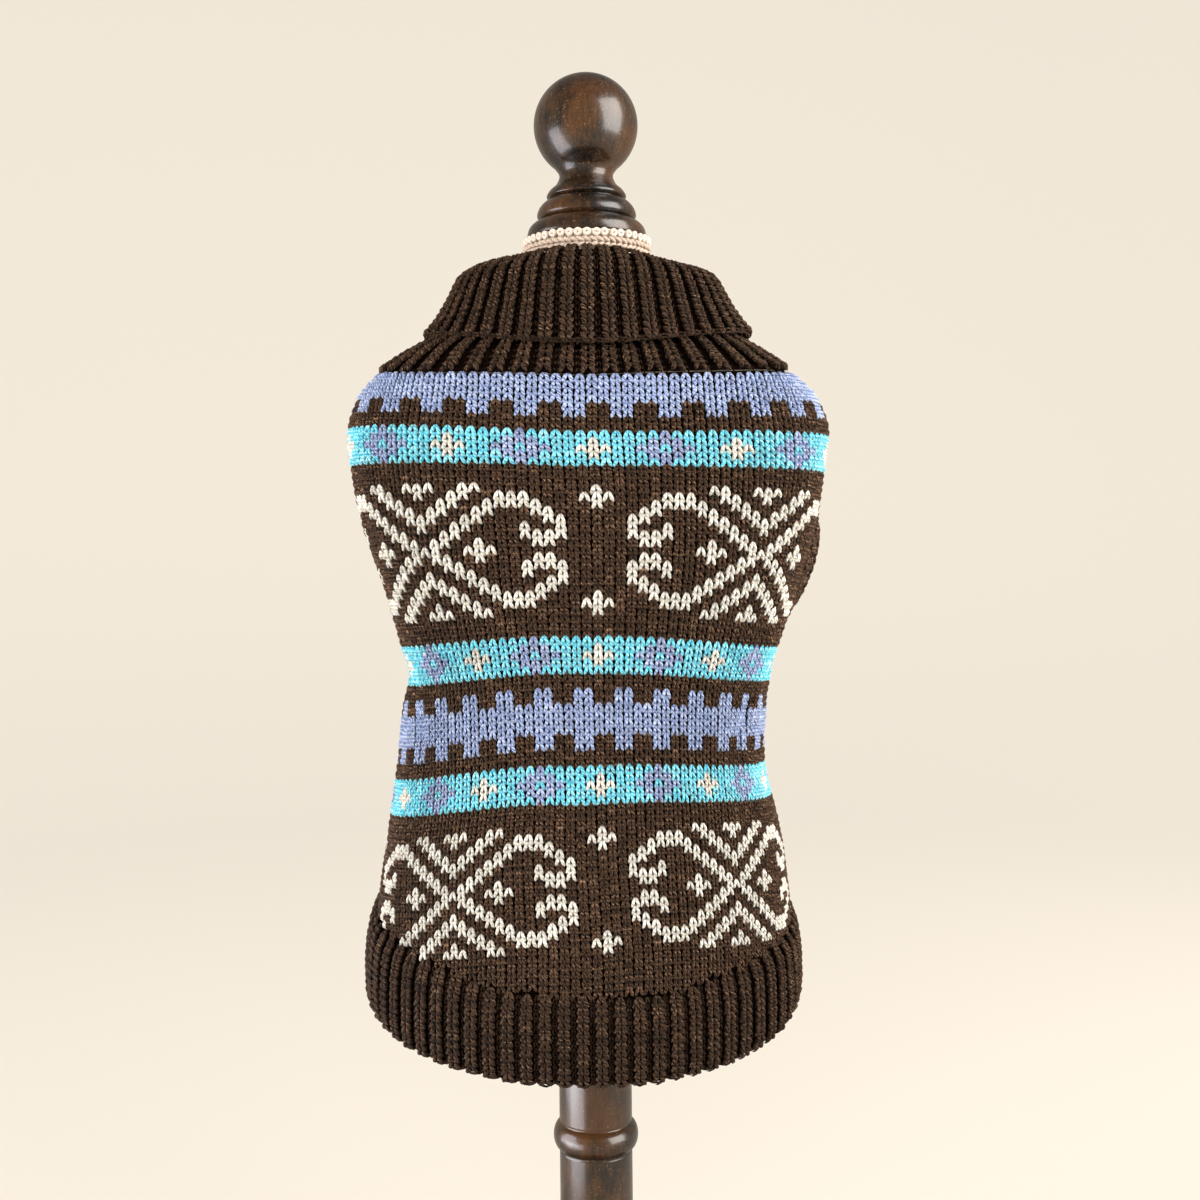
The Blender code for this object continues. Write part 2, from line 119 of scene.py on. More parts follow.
# Creases where the waist is drawn in:
# angle (degrees), height, sideways lean, half length, half width, rise (mm)
CREASES = (
    (60.0, 282.0, 0.25, 13.0, 2.4, -1.4), (51.0, 281.0, 0.15, 14.0, 4.5, 0.9),
    (42.0, 270.0, -0.5, 12.0, 4.0, -0.6), (-60.0, 276.0, -0.3, 12.0, 3.0, -1.1),
    (-50.0, 279.0, -0.2, 14.0, 5.0, 0.7), (78.0, 300.0, 0.6, 14.0, 3.0, -0.9),
    (128.0, 286.0, -0.4, 16.0, 3.5, -1.2), (137.0, 288.0, -0.3, 16.0, 5.0, 0.8),
    (-130.0, 292.0, 0.4, 15.0, 3.0, -1.1), (-141.0, 290.0, 0.3, 17.0, 5.0, 0.7),
    (172.0, 276.0, 0.1, 18.0, 4.5, -0.8), (-112.0, 262.0, -0.5, 12.0, 3.0, -0.8),
)
# Distance from the axis to the cloth at the waist, which turns an angle into a length (mm)
WAIST_RADIUS = 60.0


def crease_rise(angle, height):
    """How far the creases lift or sink the cloth (mm)."""
    rise = np.zeros(np.broadcast(angle, height).shape)
    for middle, level, lean, half_length, half_width, amount in CREASES:
        turned = np.angle(np.exp(1j * (angle - np.radians(middle))))
        across = (turned * WAIST_RADIUS - (height - level) * lean) / half_width
        along = (height - level) / half_length
        rise += amount * np.exp(-across ** 2 - along ** 2)
    return rise


def worn_point(angle, height, out):
    """Points some mm out from the worn cloth's outer face, creases included."""
    lift = np.asarray(out) + crease_rise(angle, height)
    return body_point(angle, height) + body_normal(angle, height) * lift[..., None]


def edge_height(table, angle):
    """Height of a seam or edge, in mm."""
    turned = np.abs(np.degrees(np.arctan2(np.sin(angle), np.cos(angle))))
    return curve_value(table, turned, 1)


def hem_seam(angle):
    """Height of the seam over the hem band, in mm."""
    return edge_height(HEM_SEAM, angle) - HEM_TILT * np.sin(angle)


def leg_inset(sign, height, inward):
    """How far a leg opening cuts into the back (inward 1) or the belly (inward -1), in degrees."""
    reach = LEG_REACH["right" if sign > 0 else "left"][0 if inward > 0 else 1]
    across = (height - LEG_HEIGHT) / LEG_HALF_HEIGHT
    return reach * np.sqrt(np.clip(1.0 - across ** 2, 0.0, 1.0))


def panel_side(sign, height, inward):
    """Angle of a panel's side edge (radians), which curves in round the leg opening."""
    return np.radians(sign * (SEAM_ANGLE - inward * leg_inset(sign, height, inward)))


def grid_faces(rows, columns, looped, start=0):
    """Four-sided faces of a grid of points."""
    spans = columns if looped else columns - 1
    i, j = np.meshgrid(np.arange(rows - 1), np.arange(spans), indexing="ij")
    k = (j + 1) % columns
    return np.stack([start + i * columns + j, start + (i + 1) * columns + j,
                     start + (i + 1) * columns + k, start + i * columns + k], -1).reshape(-1, 4)


def new_object(name, mesh):
    """Smooth-shaded object in the scene."""
    mesh.shade_smooth()
    piece = bpy.data.objects.new(name, mesh)
    bpy.context.scene.collection.objects.link(piece)
    return piece


def add_piece(name, points, faces):
    """New object from points in mm, riding on the root body."""
    mesh = bpy.data.meshes.new(name)
    mesh.from_pydata((np.asarray(points) * MM).tolist(), [], [list(map(int, face)) for face in faces])
    piece = new_object(name, mesh)
    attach(piece, "root")
    return piece


def cloth_wall(name, outer, inner, looped):
    """Closed cloth wall between an outer and an inner grid of points. A looped one runs all the way round."""
    rows, columns = outer.shape[:2]
    count = rows * columns
    faces = [grid_faces(rows, columns, looped), grid_faces(rows, columns, looped, count)[:, ::-1]]
    top = np.arange(columns if looped else columns - 1)
    after = (top + 1) % columns
    last = (rows - 1) * columns
    faces.append(np.stack([top, after, count + after, count + top], -1))
    faces.append(np.stack([last + top, count + last + top, count + last + after, last + after], -1))
    if not looped:
        side = np.arange(rows - 1) * columns
        far = side + columns - 1
        faces.append(np.stack([side, count + side, count + side + columns, side + columns], -1))
        faces.append(np.stack([far, far + columns, count + far + columns, count + far], -1))
    points = np.concatenate([outer.reshape(-1, 3), inner.reshape(-1, 3)])
    return add_piece(name, points, np.concatenate(faces))


# One leg of a knit stitch: share of its length, place across (wales), place up (rows),
# height over the cloth (mm), half thickness (wales)
LEG_PATH = (
    (0.00, 0.03, 0.84, -0.40, 0.0),
    (0.17, 0.12, 0.56, 0.18, 0.13),
    (0.50, 0.225, 0.03, 0.50, 0.19),
    (0.84, 0.335, -0.46, 0.28, 0.16),
    (1.00, 0.40, -0.80, -0.40, 0.0),
)
LEG_SIDES = 5
# Length of yarn in one leg (mm), and how far pressing flattens it
LEG_YARN = 4.4
LEG_FLATNESS = 0.95
# Spread of the stitches' sizes (share) and of their places (mm)
UNEVEN = 0.05


def knit(name, centre, across, up, out, flip=False, sides=LEG_SIDES):
    """Joined mesh of knit stitches. Each has two legs of two-ply yarn that meet at the top."""
    count = len(centre)
    width = np.linalg.norm(across, axis=-1)[:, None, None]
    turn = 2 * np.pi * (np.arange(sides) + 0.25) / sides
    order = -1 if flip else 1
    along = [row[0] * LEG_YARN for row in LEG_PATH]
    rings = len(LEG_PATH) - 2
    template, corners, yarn_places = [], [], []
    for side in (-1.0, 1.0):
        start = len(template)
        first = start + 1
        last = first + (rings - 1) * sides
        for _, aside, high, lift, thick in LEG_PATH:
            # A leg starts and ends in a point, with rings of yarn between
            for a in turn if thick else turn[:1]:
                template.append((side * aside + thick * math.cos(a), high * order, lift, thick * math.sin(a)))
        for j in range(sides):
            k = (j + 1) % sides
            left, right = order * j / sides, order * (j + 1) / sides
            corners.append((start, first + k, first + j))
            yarn_places.append(((left, along[0]), (right, along[1]), (left, along[1])))
            for r in range(rings - 1):
                a = first + r * sides
                b = a + sides
                corners.append((a + j, a + k, b + k, b + j))
                yarn_places.append(((left, along[r + 1]), (right, along[r + 1]),
                                    (right, along[r + 2]), (left, along[r + 2])))
            corners.append((last + j, last + k, last + sides))
            yarn_places.append(((left, along[-2]), (right, along[-2]), (left, along[-1])))
    template = np.array(template)
    size = len(template)
    shake = 1.0 + rng.normal(0.0, UNEVEN, (count, 1, 4))
    points = (centre[:, None] + rng.normal(0.0, UNEVEN, (count, 1, 3))
              + across[:, None] * template[None, :, 0:1] * shake[..., 0:1]
              + up[:, None] * template[None, :, 1:2] * shake[..., 1:2]
              + out[:, None] * (template[None, :, 2:3] * shake[..., 2:3]
                                + template[None, :, 3:4] * width * LEG_FLATNESS * shake[..., 3:4]))
    loops = np.array([corner for face in corners for corner in face[::order]])
    totals = np.array([len(face) for face in corners])
    uv = np.array([pair for face in yarn_places for pair in face[::order]])
    mesh = bpy.data.meshes.new(name)
    mesh.vertices.add(count * size)
    mesh.vertices.foreach_set("co", (points.reshape(-1, 3) * MM).ravel())
    mesh.loops.add(count * len(loops))
    mesh.loops.foreach_set("vertex_index", (np.arange(count)[:, None] * size + loops).ravel())
    mesh.polygons.add(count * len(totals))
    starts = np.concatenate([[0], np.cumsum(totals)[:-1]])
    mesh.polygons.foreach_set("loop_start", (np.arange(count)[:, None] * len(loops) + starts).ravel())
    layer = mesh.uv_layers.new(name="yarn")
    layer.data.foreach_set("uv", np.tile(uv, (count, 1)).ravel())
    tone = mesh.attributes.new("tone", "FLOAT", "POINT")
    tone.data.foreach_set("value", np.repeat(rng.random(count), size))
    mesh.update(calc_edges=True)
    mesh.validate()
    piece = new_object(name, mesh)
    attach(piece, "root")
    return piece


# Height of the knitted rows down the middle of the back (row, mm)
ROW_HEIGHT = (
    (-2, 414.6), (0, 409.5), (8, 388.6), (12, 378.6), (16, 369.0), (36, 314.5), (41, 301.2), (43, 295.8),
    (51, 273.7), (53, 267.8), (58, 254.2), (64, 238.0), (85, 182.7), (89, 172.3),
)
# How far a row stands higher at the sides (row, left, right, mm)
ROW_LIFT = (
    (-2, 7.2, 6.2), (0, 7.0, 6.0), (8, 5.4, 1.7), (18, -0.8, -3.0), (37, -8.1, -8.4), (44, -10.6, -7.6),
    (53, -13.6, -7.5), (89, -13.6, -8.0),
)
# How far it bows up on the way there (row, left, right, mm)
ROW_BOW = (
    (-2, 0.0, -1.6), (4, 0.2, -1.6), (10, 0.6, -0.6), (16, 1.6, 0.2), (28, 1.8, 0.8), (44, 2.2, 1.1),
    (54, 3.1, 2.7), (66, 3.6, 4.2), (89, 3.4, 4.8),
)
# Width of a stitch (height, mm)
WALE_WIDTH = (
    (186, 3.78), (236, 3.71), (256, 3.62), (274, 3.59), (295, 3.66), (319, 3.97), (340, 4.18), (360, 4.32),
    (388, 4.34), (416, 4.32),
)
# Place of the middle column (height, +X mm)
MIDDLE_COLUMN = ((200, 5.2), (240, 3.4), (310, 2.6), (360, 2.7), (388, 1.3), (410, 1.2))
# Share by which the stitches lie wider than that (height, left all along, left towards the edge,
# right all along, right towards the edge)
SIDE_STRETCH = (
    (186, 0.05, -0.05, -0.04, -0.06), (236, 0.05, -0.05, -0.04, -0.055),
    (256, 0.02, -0.04, -0.015, -0.065), (274, 0.02, -0.045, -0.01, -0.08),
    (295, 0.02, -0.05, -0.02, -0.055), (319, 0.005, -0.02, -0.005, -0.045),
    (340, 0.01, 0.03, 0.0, -0.01), (360, 0.02, 0.02, -0.015, 0.02),
    (381, 0.01, 0.045, 0.0, 0.045), (403, 0.0, 0.025, -0.01, 0.02),
    (416, 0.0, 0.02, -0.01, 0.02),
)
# The stretch towards the edge is full at the first of these columns and grows no more past the second
EDGE_COLUMNS = (17, 18)
# Rows over which the lift passes from the neck seam's own curve to the table
SEAM_ROWS = 8.0
FIRST_ROW = -1
ROWS = 87
HALF_COLUMNS = 37
# Place of the stitches from the worn cloth's outer face (mm)
STITCH_DEPTH = -1.1


def row_height(row, angle):
    """Height of a knitted row along its way round, in mm."""
    left, right = curve_value(ROW_LIFT, row, 1), curve_value(ROW_LIFT, row, 2)
    bow = np.where(angle < 0, curve_value(ROW_BOW, row, 1), curve_value(ROW_BOW, row, 2))
    sine = np.sqrt(np.sin(angle) ** 2 + 0.006) - math.sqrt(0.006)
    aside = np.where(angle < 0, left, right) * np.sin(angle) ** 2
    seam = edge_height(NECK_SEAM, angle) - NECK_SEAM[0][1]
    near = min(max(1.0 - row / SEAM_ROWS, 0.0), 1.0)
    return curve_value(ROW_HEIGHT, row, 1) + near * seam + (1.0 - near) * aside + bow * (2.0 - sine) * sine


def length_along(line):
    """Distance of each point of a line from its start."""
    return np.concatenate([[0.0], np.cumsum(np.linalg.norm(np.diff(line, axis=0), axis=1))])


def row_places(row):
    """Angles and heights of the stitches in one row, spaced by their width from the middle column."""
    middle = float(curve_value(ROW_HEIGHT, row, 1))
    angles = np.radians(np.linspace(-128.0, 128.0, 769))
    heights = row_height(row, angles)
    points = worn_point(angles, heights, 0.0)
    length = length_along(points)
    # The part of the row where its points lie ever further to the right
    facing = slice(180, 590)
    centre = np.interp(float(curve_value(MIDDLE_COLUMN, middle, 1)), points[facing, 0], length[facing])
    columns = np.arange(-HALF_COLUMNS - 1, HALF_COLUMNS + 2)
    left, left_edge, right, right_edge = (float(curve_value(SIDE_STRETCH, middle, k)) for k in (1, 2, 3, 4))
    full, last = EDGE_COLUMNS
    near_edge = (np.minimum(np.abs(columns), last) / full) ** 2
    wider = 1.0 + np.where(columns < 0, left, right)
    wider = wider + np.where(columns < 0, left_edge, right_edge) * near_edge
    places = np.interp(centre + columns * float(curve_value(WALE_WIDTH, middle, 1)) * wider, length, angles)
    return places, row_height(row, places)


# Traditional Fair Isle repeats. A lattice star is written by quarter: column, rows from its middle outwards.
STAR = {
    0: (0, 3, 4, 7, 8), 1: (0, 1, 4, 5, 8), 2: (1, 2, 5, 6), 3: (2, 3, 6, 7), 4: (0, 3, 4, 7, 8),
    5: (0, 1, 4, 5, 8), 6: (0, 5, 6), 7: (6, 7), 8: (6, 7), 9: (2, 3, 6, 7), 10: (1, 2, 5, 6),
    11: (1, 2, 4, 5), 12: (2, 3, 4),
}


def star_colour(column, row):
    """Cream lattice star every thirty columns, with a small cross above and below between two stars."""
    away = abs((column + 15) % 30 - 15)
    if away <= 1 and abs(row) == 7:
        return "cream"
    if away == 0 and abs(row) in (6, 8):
        return "cream"
    reach = abs((column % 30) - 15)
    return "cream" if abs(row) in STAR.get(reach, ()) else "brown"


def band_colour(column, row):
    """Turquoise band with a cream cross and a violet diamond every twelve columns."""
    cross = abs((column + 6) % 12 - 6)
    diamond = abs(column % 12 - 6)
    if cross + abs(row) <= 1:
        return "cream"
    if 0 < diamond + abs(row) <= 2:
        return "violet"
    return "teal"


def castle_colour(column, _):
    """Violet battlements two columns wide."""
    return "violet" if column % 4 in (2, 3) else "brown"


def brown_rows(*_):
    return "brown"


def violet_rows(*_):
    return "violet"


# Bands from the neck down: rows in the band, what colours them
BANDS = (
    (4, violet_rows), (2, castle_colour), (2, brown_rows), (5, band_colour),
    (3, brown_rows), (17, star_colour), (3, brown_rows), (5, band_colour),
    (2, brown_rows), (2, castle_colour), (4, violet_rows), (2, castle_colour), (2, brown_rows),
    (5, band_colour), (3, brown_rows), (17, star_colour), (30, brown_rows),
)


def yarn_colour(row, column):
    """Yarn of one stitch of the chart."""
    for rows, rule in BANDS:
        if row < rows:
            return rule(column, row - rows // 2)
        row -= rows
    return "brown"


def stitch_grid(angles, heights):
    """Stitches of a grid without its outermost ones: angles, heights, then centres, across, up and out."""
    centres = worn_point(angles, heights, STITCH_DEPTH)
    across = (centres[1:-1, 2:] - centres[1:-1, :-2]) / 2
    up = (centres[:-2, 1:-1] - centres[2:, 1:-1]) / 2
    out = body_normal(angles, heights)[1:-1, 1:-1]
    return angles[1:-1, 1:-1], heights[1:-1, 1:-1], (centres[1:-1, 1:-1], across, up, out)


def between_seams(angles, heights):
    """Which stitches lie clear of the hem seam below and the neck seam above."""
    return (heights > hem_seam(angles) + 0.3) & (heights < edge_height(NECK_SEAM, angles) - 1.0)


places = [row_places(row + 0.5) for row in range(FIRST_ROW - 1, ROWS + 1)]
angles, heights, stitches = stitch_grid(np.array([a for a, _ in places]), np.array([h for _, h in places]))
edge = np.where(angles > 0, panel_side(1.0, heights, 1.0), -panel_side(-1.0, heights, 1.0))
# Half a stitch's width, the room left beside a cuff and the width of its picked-up stitches (radians)
half_wale = np.radians(1.1)
cuff_room = np.radians(0.6)
cuff_stitches = np.radians(5.5)
beside_leg = np.abs(heights - LEG_HEIGHT) < LEG_HALF_HEIGHT
inside = (np.abs(angles) < edge - half_wale - cuff_room * beside_leg) & between_seams(angles, heights)
columns = np.arange(-HALF_COLUMNS, HALF_COLUMNS + 1)
colours = np.array([[yarn_colour(row, column) for column in columns] for row in range(FIRST_ROW, ROWS)])
# The stitches picked up for a leg cuff are brown
colours[(np.abs(angles) > edge - cuff_stitches) & beside_leg] = "brown"
back_stitches = {}
for yarn in ("brown", "violet", "teal", "cream"):
    chosen = inside & (colours == yarn)
    back_stitches[yarn] = knit(f"back_stitches_{yarn}", *(grid[chosen] for grid in stitches))

# Outer and inner face of a panel's ground, from the worn cloth's outer face (mm)
GROUND_FACES = (-1.45, -1.95)


def side_room(seam, height, inward):
    """How far a panel's edge lies inside its side seam, with the leg opening (radians)."""
    sign = 1.0 if math.sin(seam) > 0 else -1.0
    return math.radians(leg_inset(sign, height, inward) + 0.15)


def panel_wall(name, left, right, inward, count):
    """Thin ground of a panel under its stitches, from seam to seam."""
    faces = ([], [])
    for share in np.linspace(0.0, 1.0, 61):
        angle = np.linspace(left, right, count)
        # Each pass finds the side edges again at the heights that the one before gave them
        for _ in range(4):
            top = edge_height(NECK_SEAM, angle) - SEAM_GAP / 2
            bottom = hem_seam(angle) + SEAM_GAP / 2
            height = top + (bottom - top) * share
            angle = np.linspace(left + side_room(left, height[0], inward),
                                right - side_room(right, height[-1], inward), count)
        for rows, out in zip(faces, GROUND_FACES):
            rows.append(worn_point(angle, height, out))
    return cloth_wall(name, np.array(faces[0]), np.array(faces[1]), False)


def colour(code):
    """sRGB hex code as a linear colour."""
    parts = [int(code[i:i + 2], 16) / 255 for i in (0, 2, 4)]
    return tuple(p / 12.92 if p <= 0.04045 else ((p + 0.055) / 1.055) ** 2.4 for p in parts) + (1.0,)


def node(tree, kind, inputs=None, **settings):
    """Adds a shader node, sets its properties and fills or links its inputs."""
    item = tree.nodes.new(kind)
    for key, value in settings.items():
        setattr(item, key, value)
    for key, value in (inputs or {}).items():
        if isinstance(value, bpy.types.NodeSocket):
            tree.links.new(value, item.inputs[key])
        else:
            item.inputs[key].default_value = value
    return item


def new_material(name, roughness, sheen=0.0, tint="ffffff"):
    """Material with its node tree and shader. Sheen is the halo of loose fibres."""
    material = bpy.data.materials.new(name)
    material.use_nodes = True
    shader = material.node_tree.nodes["Principled BSDF"]
    shader.inputs["Roughness"].default_value = roughness
    shader.inputs["Sheen Weight"].default_value = sheen
    shader.inputs["Sheen Roughness"].default_value = 0.4
    shader.inputs["Sheen Tint"].default_value = colour(tint)
    return material, material.node_tree, shader


# Length of yarn in which its two plies change places (mm)
PLY_PITCH = 1.5


def yarn_material(name, ply_hollow_shade, body, light, fleck):
    """Two-ply wool yarn: plies wound round each leg, with painted shade in the hollow between the plies and a
    painted highlight on their crests, streaked and fuzzy with fibre.
    """
    material, tree, shader = new_material(name, 0.85, 0.3, fleck)
    shader.inputs["Specular IOR Level"].default_value = 0.25
    uv = node(tree, "ShaderNodeUVMap", uv_map="yarn")
    tone = node(tree, "ShaderNodeAttribute", attribute_name="tone")
    place = node(tree, "ShaderNodeSeparateXYZ", {0: uv.outputs["UV"]})
    around = node(tree, "ShaderNodeMath", {0: place.outputs["X"], 1: 2.0}, operation="MULTIPLY")
    twist = node(tree, "ShaderNodeMath", {0: place.outputs["Y"], 1: 1 / PLY_PITCH, 2: around.outputs[0]},
                 operation="MULTIPLY_ADD")
    own = node(tree, "ShaderNodeMath", {0: tone.outputs["Fac"], 1: 40.0}, operation="MULTIPLY")
    strand = node(tree, "ShaderNodeCombineXYZ", {"X": twist.outputs[0], "Y": place.outputs["Y"],
                                                 "Z": own.outputs[0]})
    stretch = node(tree, "ShaderNodeMapping", {"Vector": strand.outputs[0], "Scale": (5.0, 0.7, 1.0)})
    fibre = node(tree, "ShaderNodeTexNoise", {"Vector": stretch.outputs[0], "Scale": 1.0, "Detail": 4.0,
                                              "Roughness": 0.65})
    uneven = node(tree, "ShaderNodeTexNoise", {"Vector": strand.outputs[0], "Scale": 0.8, "Detail": 1.0})
    slack = node(tree, "ShaderNodeMath", {0: uneven.outputs["Fac"], 1: 0.9, 2: twist.outputs[0]},
                 operation="MULTIPLY_ADD")
    phase = node(tree, "ShaderNodeMath", {0: slack.outputs[0], 1: 2 * math.pi}, operation="MULTIPLY")
    wave = node(tree, "ShaderNodeMath", {0: phase.outputs[0]}, operation="SINE")
    ply = node(tree, "ShaderNodeMapRange", {0: wave.outputs[0], 1: -0.8, 2: 0.6, 3: 0.0, 4: 1.0})
    hair = node(tree, "ShaderNodeMapRange", {0: fibre.outputs["Fac"], 1: 0.36, 2: 0.64, 3: 0.0, 4: 1.0})
    level = node(tree, "ShaderNodeMix", {0: 0.52, 2: ply.outputs[0], 3: hair.outputs[0]})
    # The ramp mixes painted light into the yarn's own colour: painted shade in the hollow between the plies
    # and a painted highlight on their crests, with the real light and dark of the fibres.
    ramp = node(tree, "ShaderNodeValToRGB", {0: level.outputs[0]})
    ramp.color_ramp.elements[0].position = 0.08
    ramp.color_ramp.elements[0].color = colour(ply_hollow_shade)
    ramp.color_ramp.elements[1].position = 0.92
    ramp.color_ramp.elements[1].color = colour(light)
    middle = ramp.color_ramp.elements.new(0.5)
    middle.color = colour(body)
    spot = node(tree, "ShaderNodeMapRange", {0: fibre.outputs["Fac"], 1: 0.58, 2: 0.68, 3: 0.0, 4: 0.8})
    flecked = node(tree, "ShaderNodeMix", {0: spot.outputs[0], 6: ramp.outputs[0], 7: colour(fleck)},
                   data_type="RGBA")
    shade = node(tree, "ShaderNodeMapRange", {0: tone.outputs["Fac"], 1: 0.0, 2: 1.0, 3: 0.84, 4: 1.12})
    toned = node(tree, "ShaderNodeHueSaturation", {"Value": shade.outputs[0], "Color": flecked.outputs[2]})
    tree.links.new(toned.outputs[0], shader.inputs["Base Color"])
    bump = node(tree, "ShaderNodeBump", {"Height": level.outputs[0], "Strength": 1.0, "Distance": 0.4 * MM})
    tree.links.new(bump.outputs[0], shader.inputs["Normal"])
    return material


# Wool yarns of the colour work: heathered brown, periwinkle violet, turquoise and natural cream
# Each yarn is given as painted shade for the ply hollow, its own colour, its lightest tone with the painted
# highlight on the ply crests, and its fleck colour.
YARNS = {
    "brown": yarn_material("wool_brown", "030201", "140b07", "60422f", "d6ae8c"),
    # The ribbing yarn is the brown yarn painted darker: painted shade where the ribs' loops shade each other.
    "ribbing": yarn_material("wool_brown_ribbing_painted_shade", "030201", "150c07", "573c2c", "a98a6d"),
    "violet": yarn_material("wool_violet", "50629a", "93a8d6", "d3ddfa", "eaeffe"),
    "teal": yarn_material("wool_teal", "29a3c6", "69e4ff", "c8fbff", "e6fdff"),
    "cream": yarn_material("wool_cream", "b3a994", "f3eee2", "ffffff", "ffffff"),
}


# A wave texture of scale 1 repeats every pi / 10
WAVE_REPEAT = math.pi / 10


def ground_material(name, dark, light):
    """Wool between and behind the stitches, painted near black for the shade that falls there, with the
    ridges and loose fibre of the fabric's inner side.
    """
    material, tree, shader = new_material(name, 1.0)
    shader.inputs["Specular IOR Level"].default_value = 0.0
    # Fibres 1.1 mm apart and a ridge every second row (5.4 mm), both coarse enough to show
    where = node(tree, "ShaderNodeTexCoord").outputs["Object"]
    fibre = node(tree, "ShaderNodeTexNoise", {"Vector": where, "Scale": 0.9 / MM, "Detail": 4.0})
    ramp = node(tree, "ShaderNodeValToRGB", {0: fibre.outputs["Fac"]})
    ramp.color_ramp.elements[0].position = 0.35
    ramp.color_ramp.elements[0].color = colour(dark)
    ramp.color_ramp.elements[1].position = 0.75
    ramp.color_ramp.elements[1].color = colour(light)
    tree.links.new(ramp.outputs[0], shader.inputs["Base Color"])
    wave = node(tree, "ShaderNodeTexWave", {"Vector": where, "Scale": WAVE_REPEAT / (5.4166 * MM),
                                            "Distortion": 3.0}, bands_direction="Z")
    height = node(tree, "ShaderNodeMath", {0: wave.outputs["Fac"], 1: fibre.outputs["Fac"]}, operation="ADD")
    bump = node(tree, "ShaderNodeBump", {"Height": height.outputs[0], "Strength": 0.7, "Distance": 0.4 * MM})
    tree.links.new(bump.outputs[0], shader.inputs["Normal"])
    return material


# Painted shade: the ground is near-black brown under every colour of stitch, standing in for the shade in the
# gaps and furrows.
SHADED_WOOL_GROUND = ground_material("wool_ground_painted_shade", "080504", "1d130d")
seam = math.radians(SEAM_ANGLE)
back_panel = panel_wall("back_jersey", -seam, seam, 1.0, 91)
back_panel.data.materials.append(SHADED_WOOL_GROUND)
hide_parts("back_panel")
for yarn, piece in back_stitches.items():
    piece.data.materials.append(YARNS[yarn])

# Belly panel
# The belly is a second panel of wool jersey, plain brown and shorter than the back.
# It is sewn to the back along both sides, above and below the leg openings.
belly_panel = panel_wall("belly_jersey", seam, 2 * math.pi - seam, -1.0, 61)
belly_panel.data.materials.append(SHADED_WOOL_GROUND)
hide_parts("belly_panel")

# Height of the first row under the collar, height of a row and its bow towards the sides (mm)
BELLY_TOP = 414.0
BELLY_ROW = 2.62
BELLY_BOW = 0.5
BELLY_WALES = 50
row_grid, column_grid = np.meshgrid(np.arange(-1, 76), np.arange(-26, 27), indexing="ij")
angles = math.pi + column_grid * (2 * math.pi - 2 * seam) / BELLY_WALES
heights = BELLY_TOP - (row_grid + 0.5) * BELLY_ROW + (1 - np.cos(angles - math.pi)) * BELLY_BOW
angles, heights, stitches = stitch_grid(angles, heights)
bearing = np.arctan2(np.sin(angles), np.cos(angles))
edge = np.where(bearing > 0, panel_side(1.0, heights, -1.0), -panel_side(-1.0, heights, -1.0))
inside = (np.abs(bearing) > edge + half_wale) & between_seams(angles, heights)
belly_stitches = knit("belly_stitches", *(grid[inside] for grid in stitches), sides=4)
belly_stitches.data.materials.append(YARNS["brown"])

# Collar
# The roll collar is one tube of one-by-one wool ribbing, knitted on at the neck seam.
# It stands round the form's neck, folds over and comes down again to a scalloped cast-off edge.

# The fold, from inside the neck to the turned-down edge:
# height over the back, height over the sides, half width, depth of back, depth of belly (mm)
COLLAR_FOLD = (
    (452.0, 452.0, 28.0, 27.4, 27.4), (456.4, 457.2, 28.8, 28.0, 28.0), (458.9, 460.2, 31.4, 30.6, 30.4),
    (459.3, 461.2, 36.0, 35.0, 34.5), (457.8, 460.0, 44.0, 42.4, 41.2), (452.8, 455.0, 50.2, 47.4, 46.3),
    (446.0, 447.2, 53.4, 49.8, 48.6), (434.5, 438.4, 58.0, 52.4, 53.4), (421.8, 430.6, 64.2, 55.0, 60.0),
)
# How far the crest of the fold sinks (angle from the middle of the back, mm), and each station's share of it
CREST_SAG = (
    (-180, 2.0), (-135, 2.8), (-90, 3.5), (-70, 3.7), (-40, 3.0), (-20, 1.0), (0, 0.0), (20, 1.4), (40, 4.6),
    (60, 5.6), (90, 4.6), (135, 2.8), (180, 2.0),
)
SAG_SHARES = (0.0, 0.3, 0.7, 1.0, 1.0, 0.6, 0.1, 0.0, 0.0)
# Roundness of the collar's rings, where 2 is an ellipse
COLLAR_POWER = 2.1
COLLAR_RIBS = 50
RIB_WALL = 1.6
# Columns of points from one rib to the next, with the furrow in the middle
RIB_POINTS = 6
# Share of the way from rib to rib that a column of stitches fills: knit on the ribs, purl in the furrows
RIB_SHARE = 0.74
FURROW_SHARE = 0.34
# Height of a ribbing stitch, width and length of a cast-off stitch (mm)
RIB_STITCH = 2.7
CHAIN_WIDTH = 2.1
CHAIN_STITCH = 3.5


def even_angles(count, ring_point):
    """Angles that part a ring into equal lengths, from the middle of the back."""
    fine = np.linspace(0.0, 2 * math.pi, 721)
    length = length_along(ring_point(fine))
    return np.interp(np.arange(count) * length[-1] / count, length, fine)


def rib_ridges(columns):
    """Rise of each column of points round a ribbed tube: 0 in a furrow, 1 on a rib."""
    return (0.5 + 0.5 * np.cos(np.arange(columns) * 2 * math.pi / RIB_POINTS)) ** 0.7


def collar_edge_point(angle):
    """Places along the turned-down edge, seen from above."""
    radius = oval_radius(angle, *COLLAR_FOLD[-1][2:], COLLAR_POWER)
    return np.stack([radius * np.sin(angle), -radius * np.cos(angle)], -1)


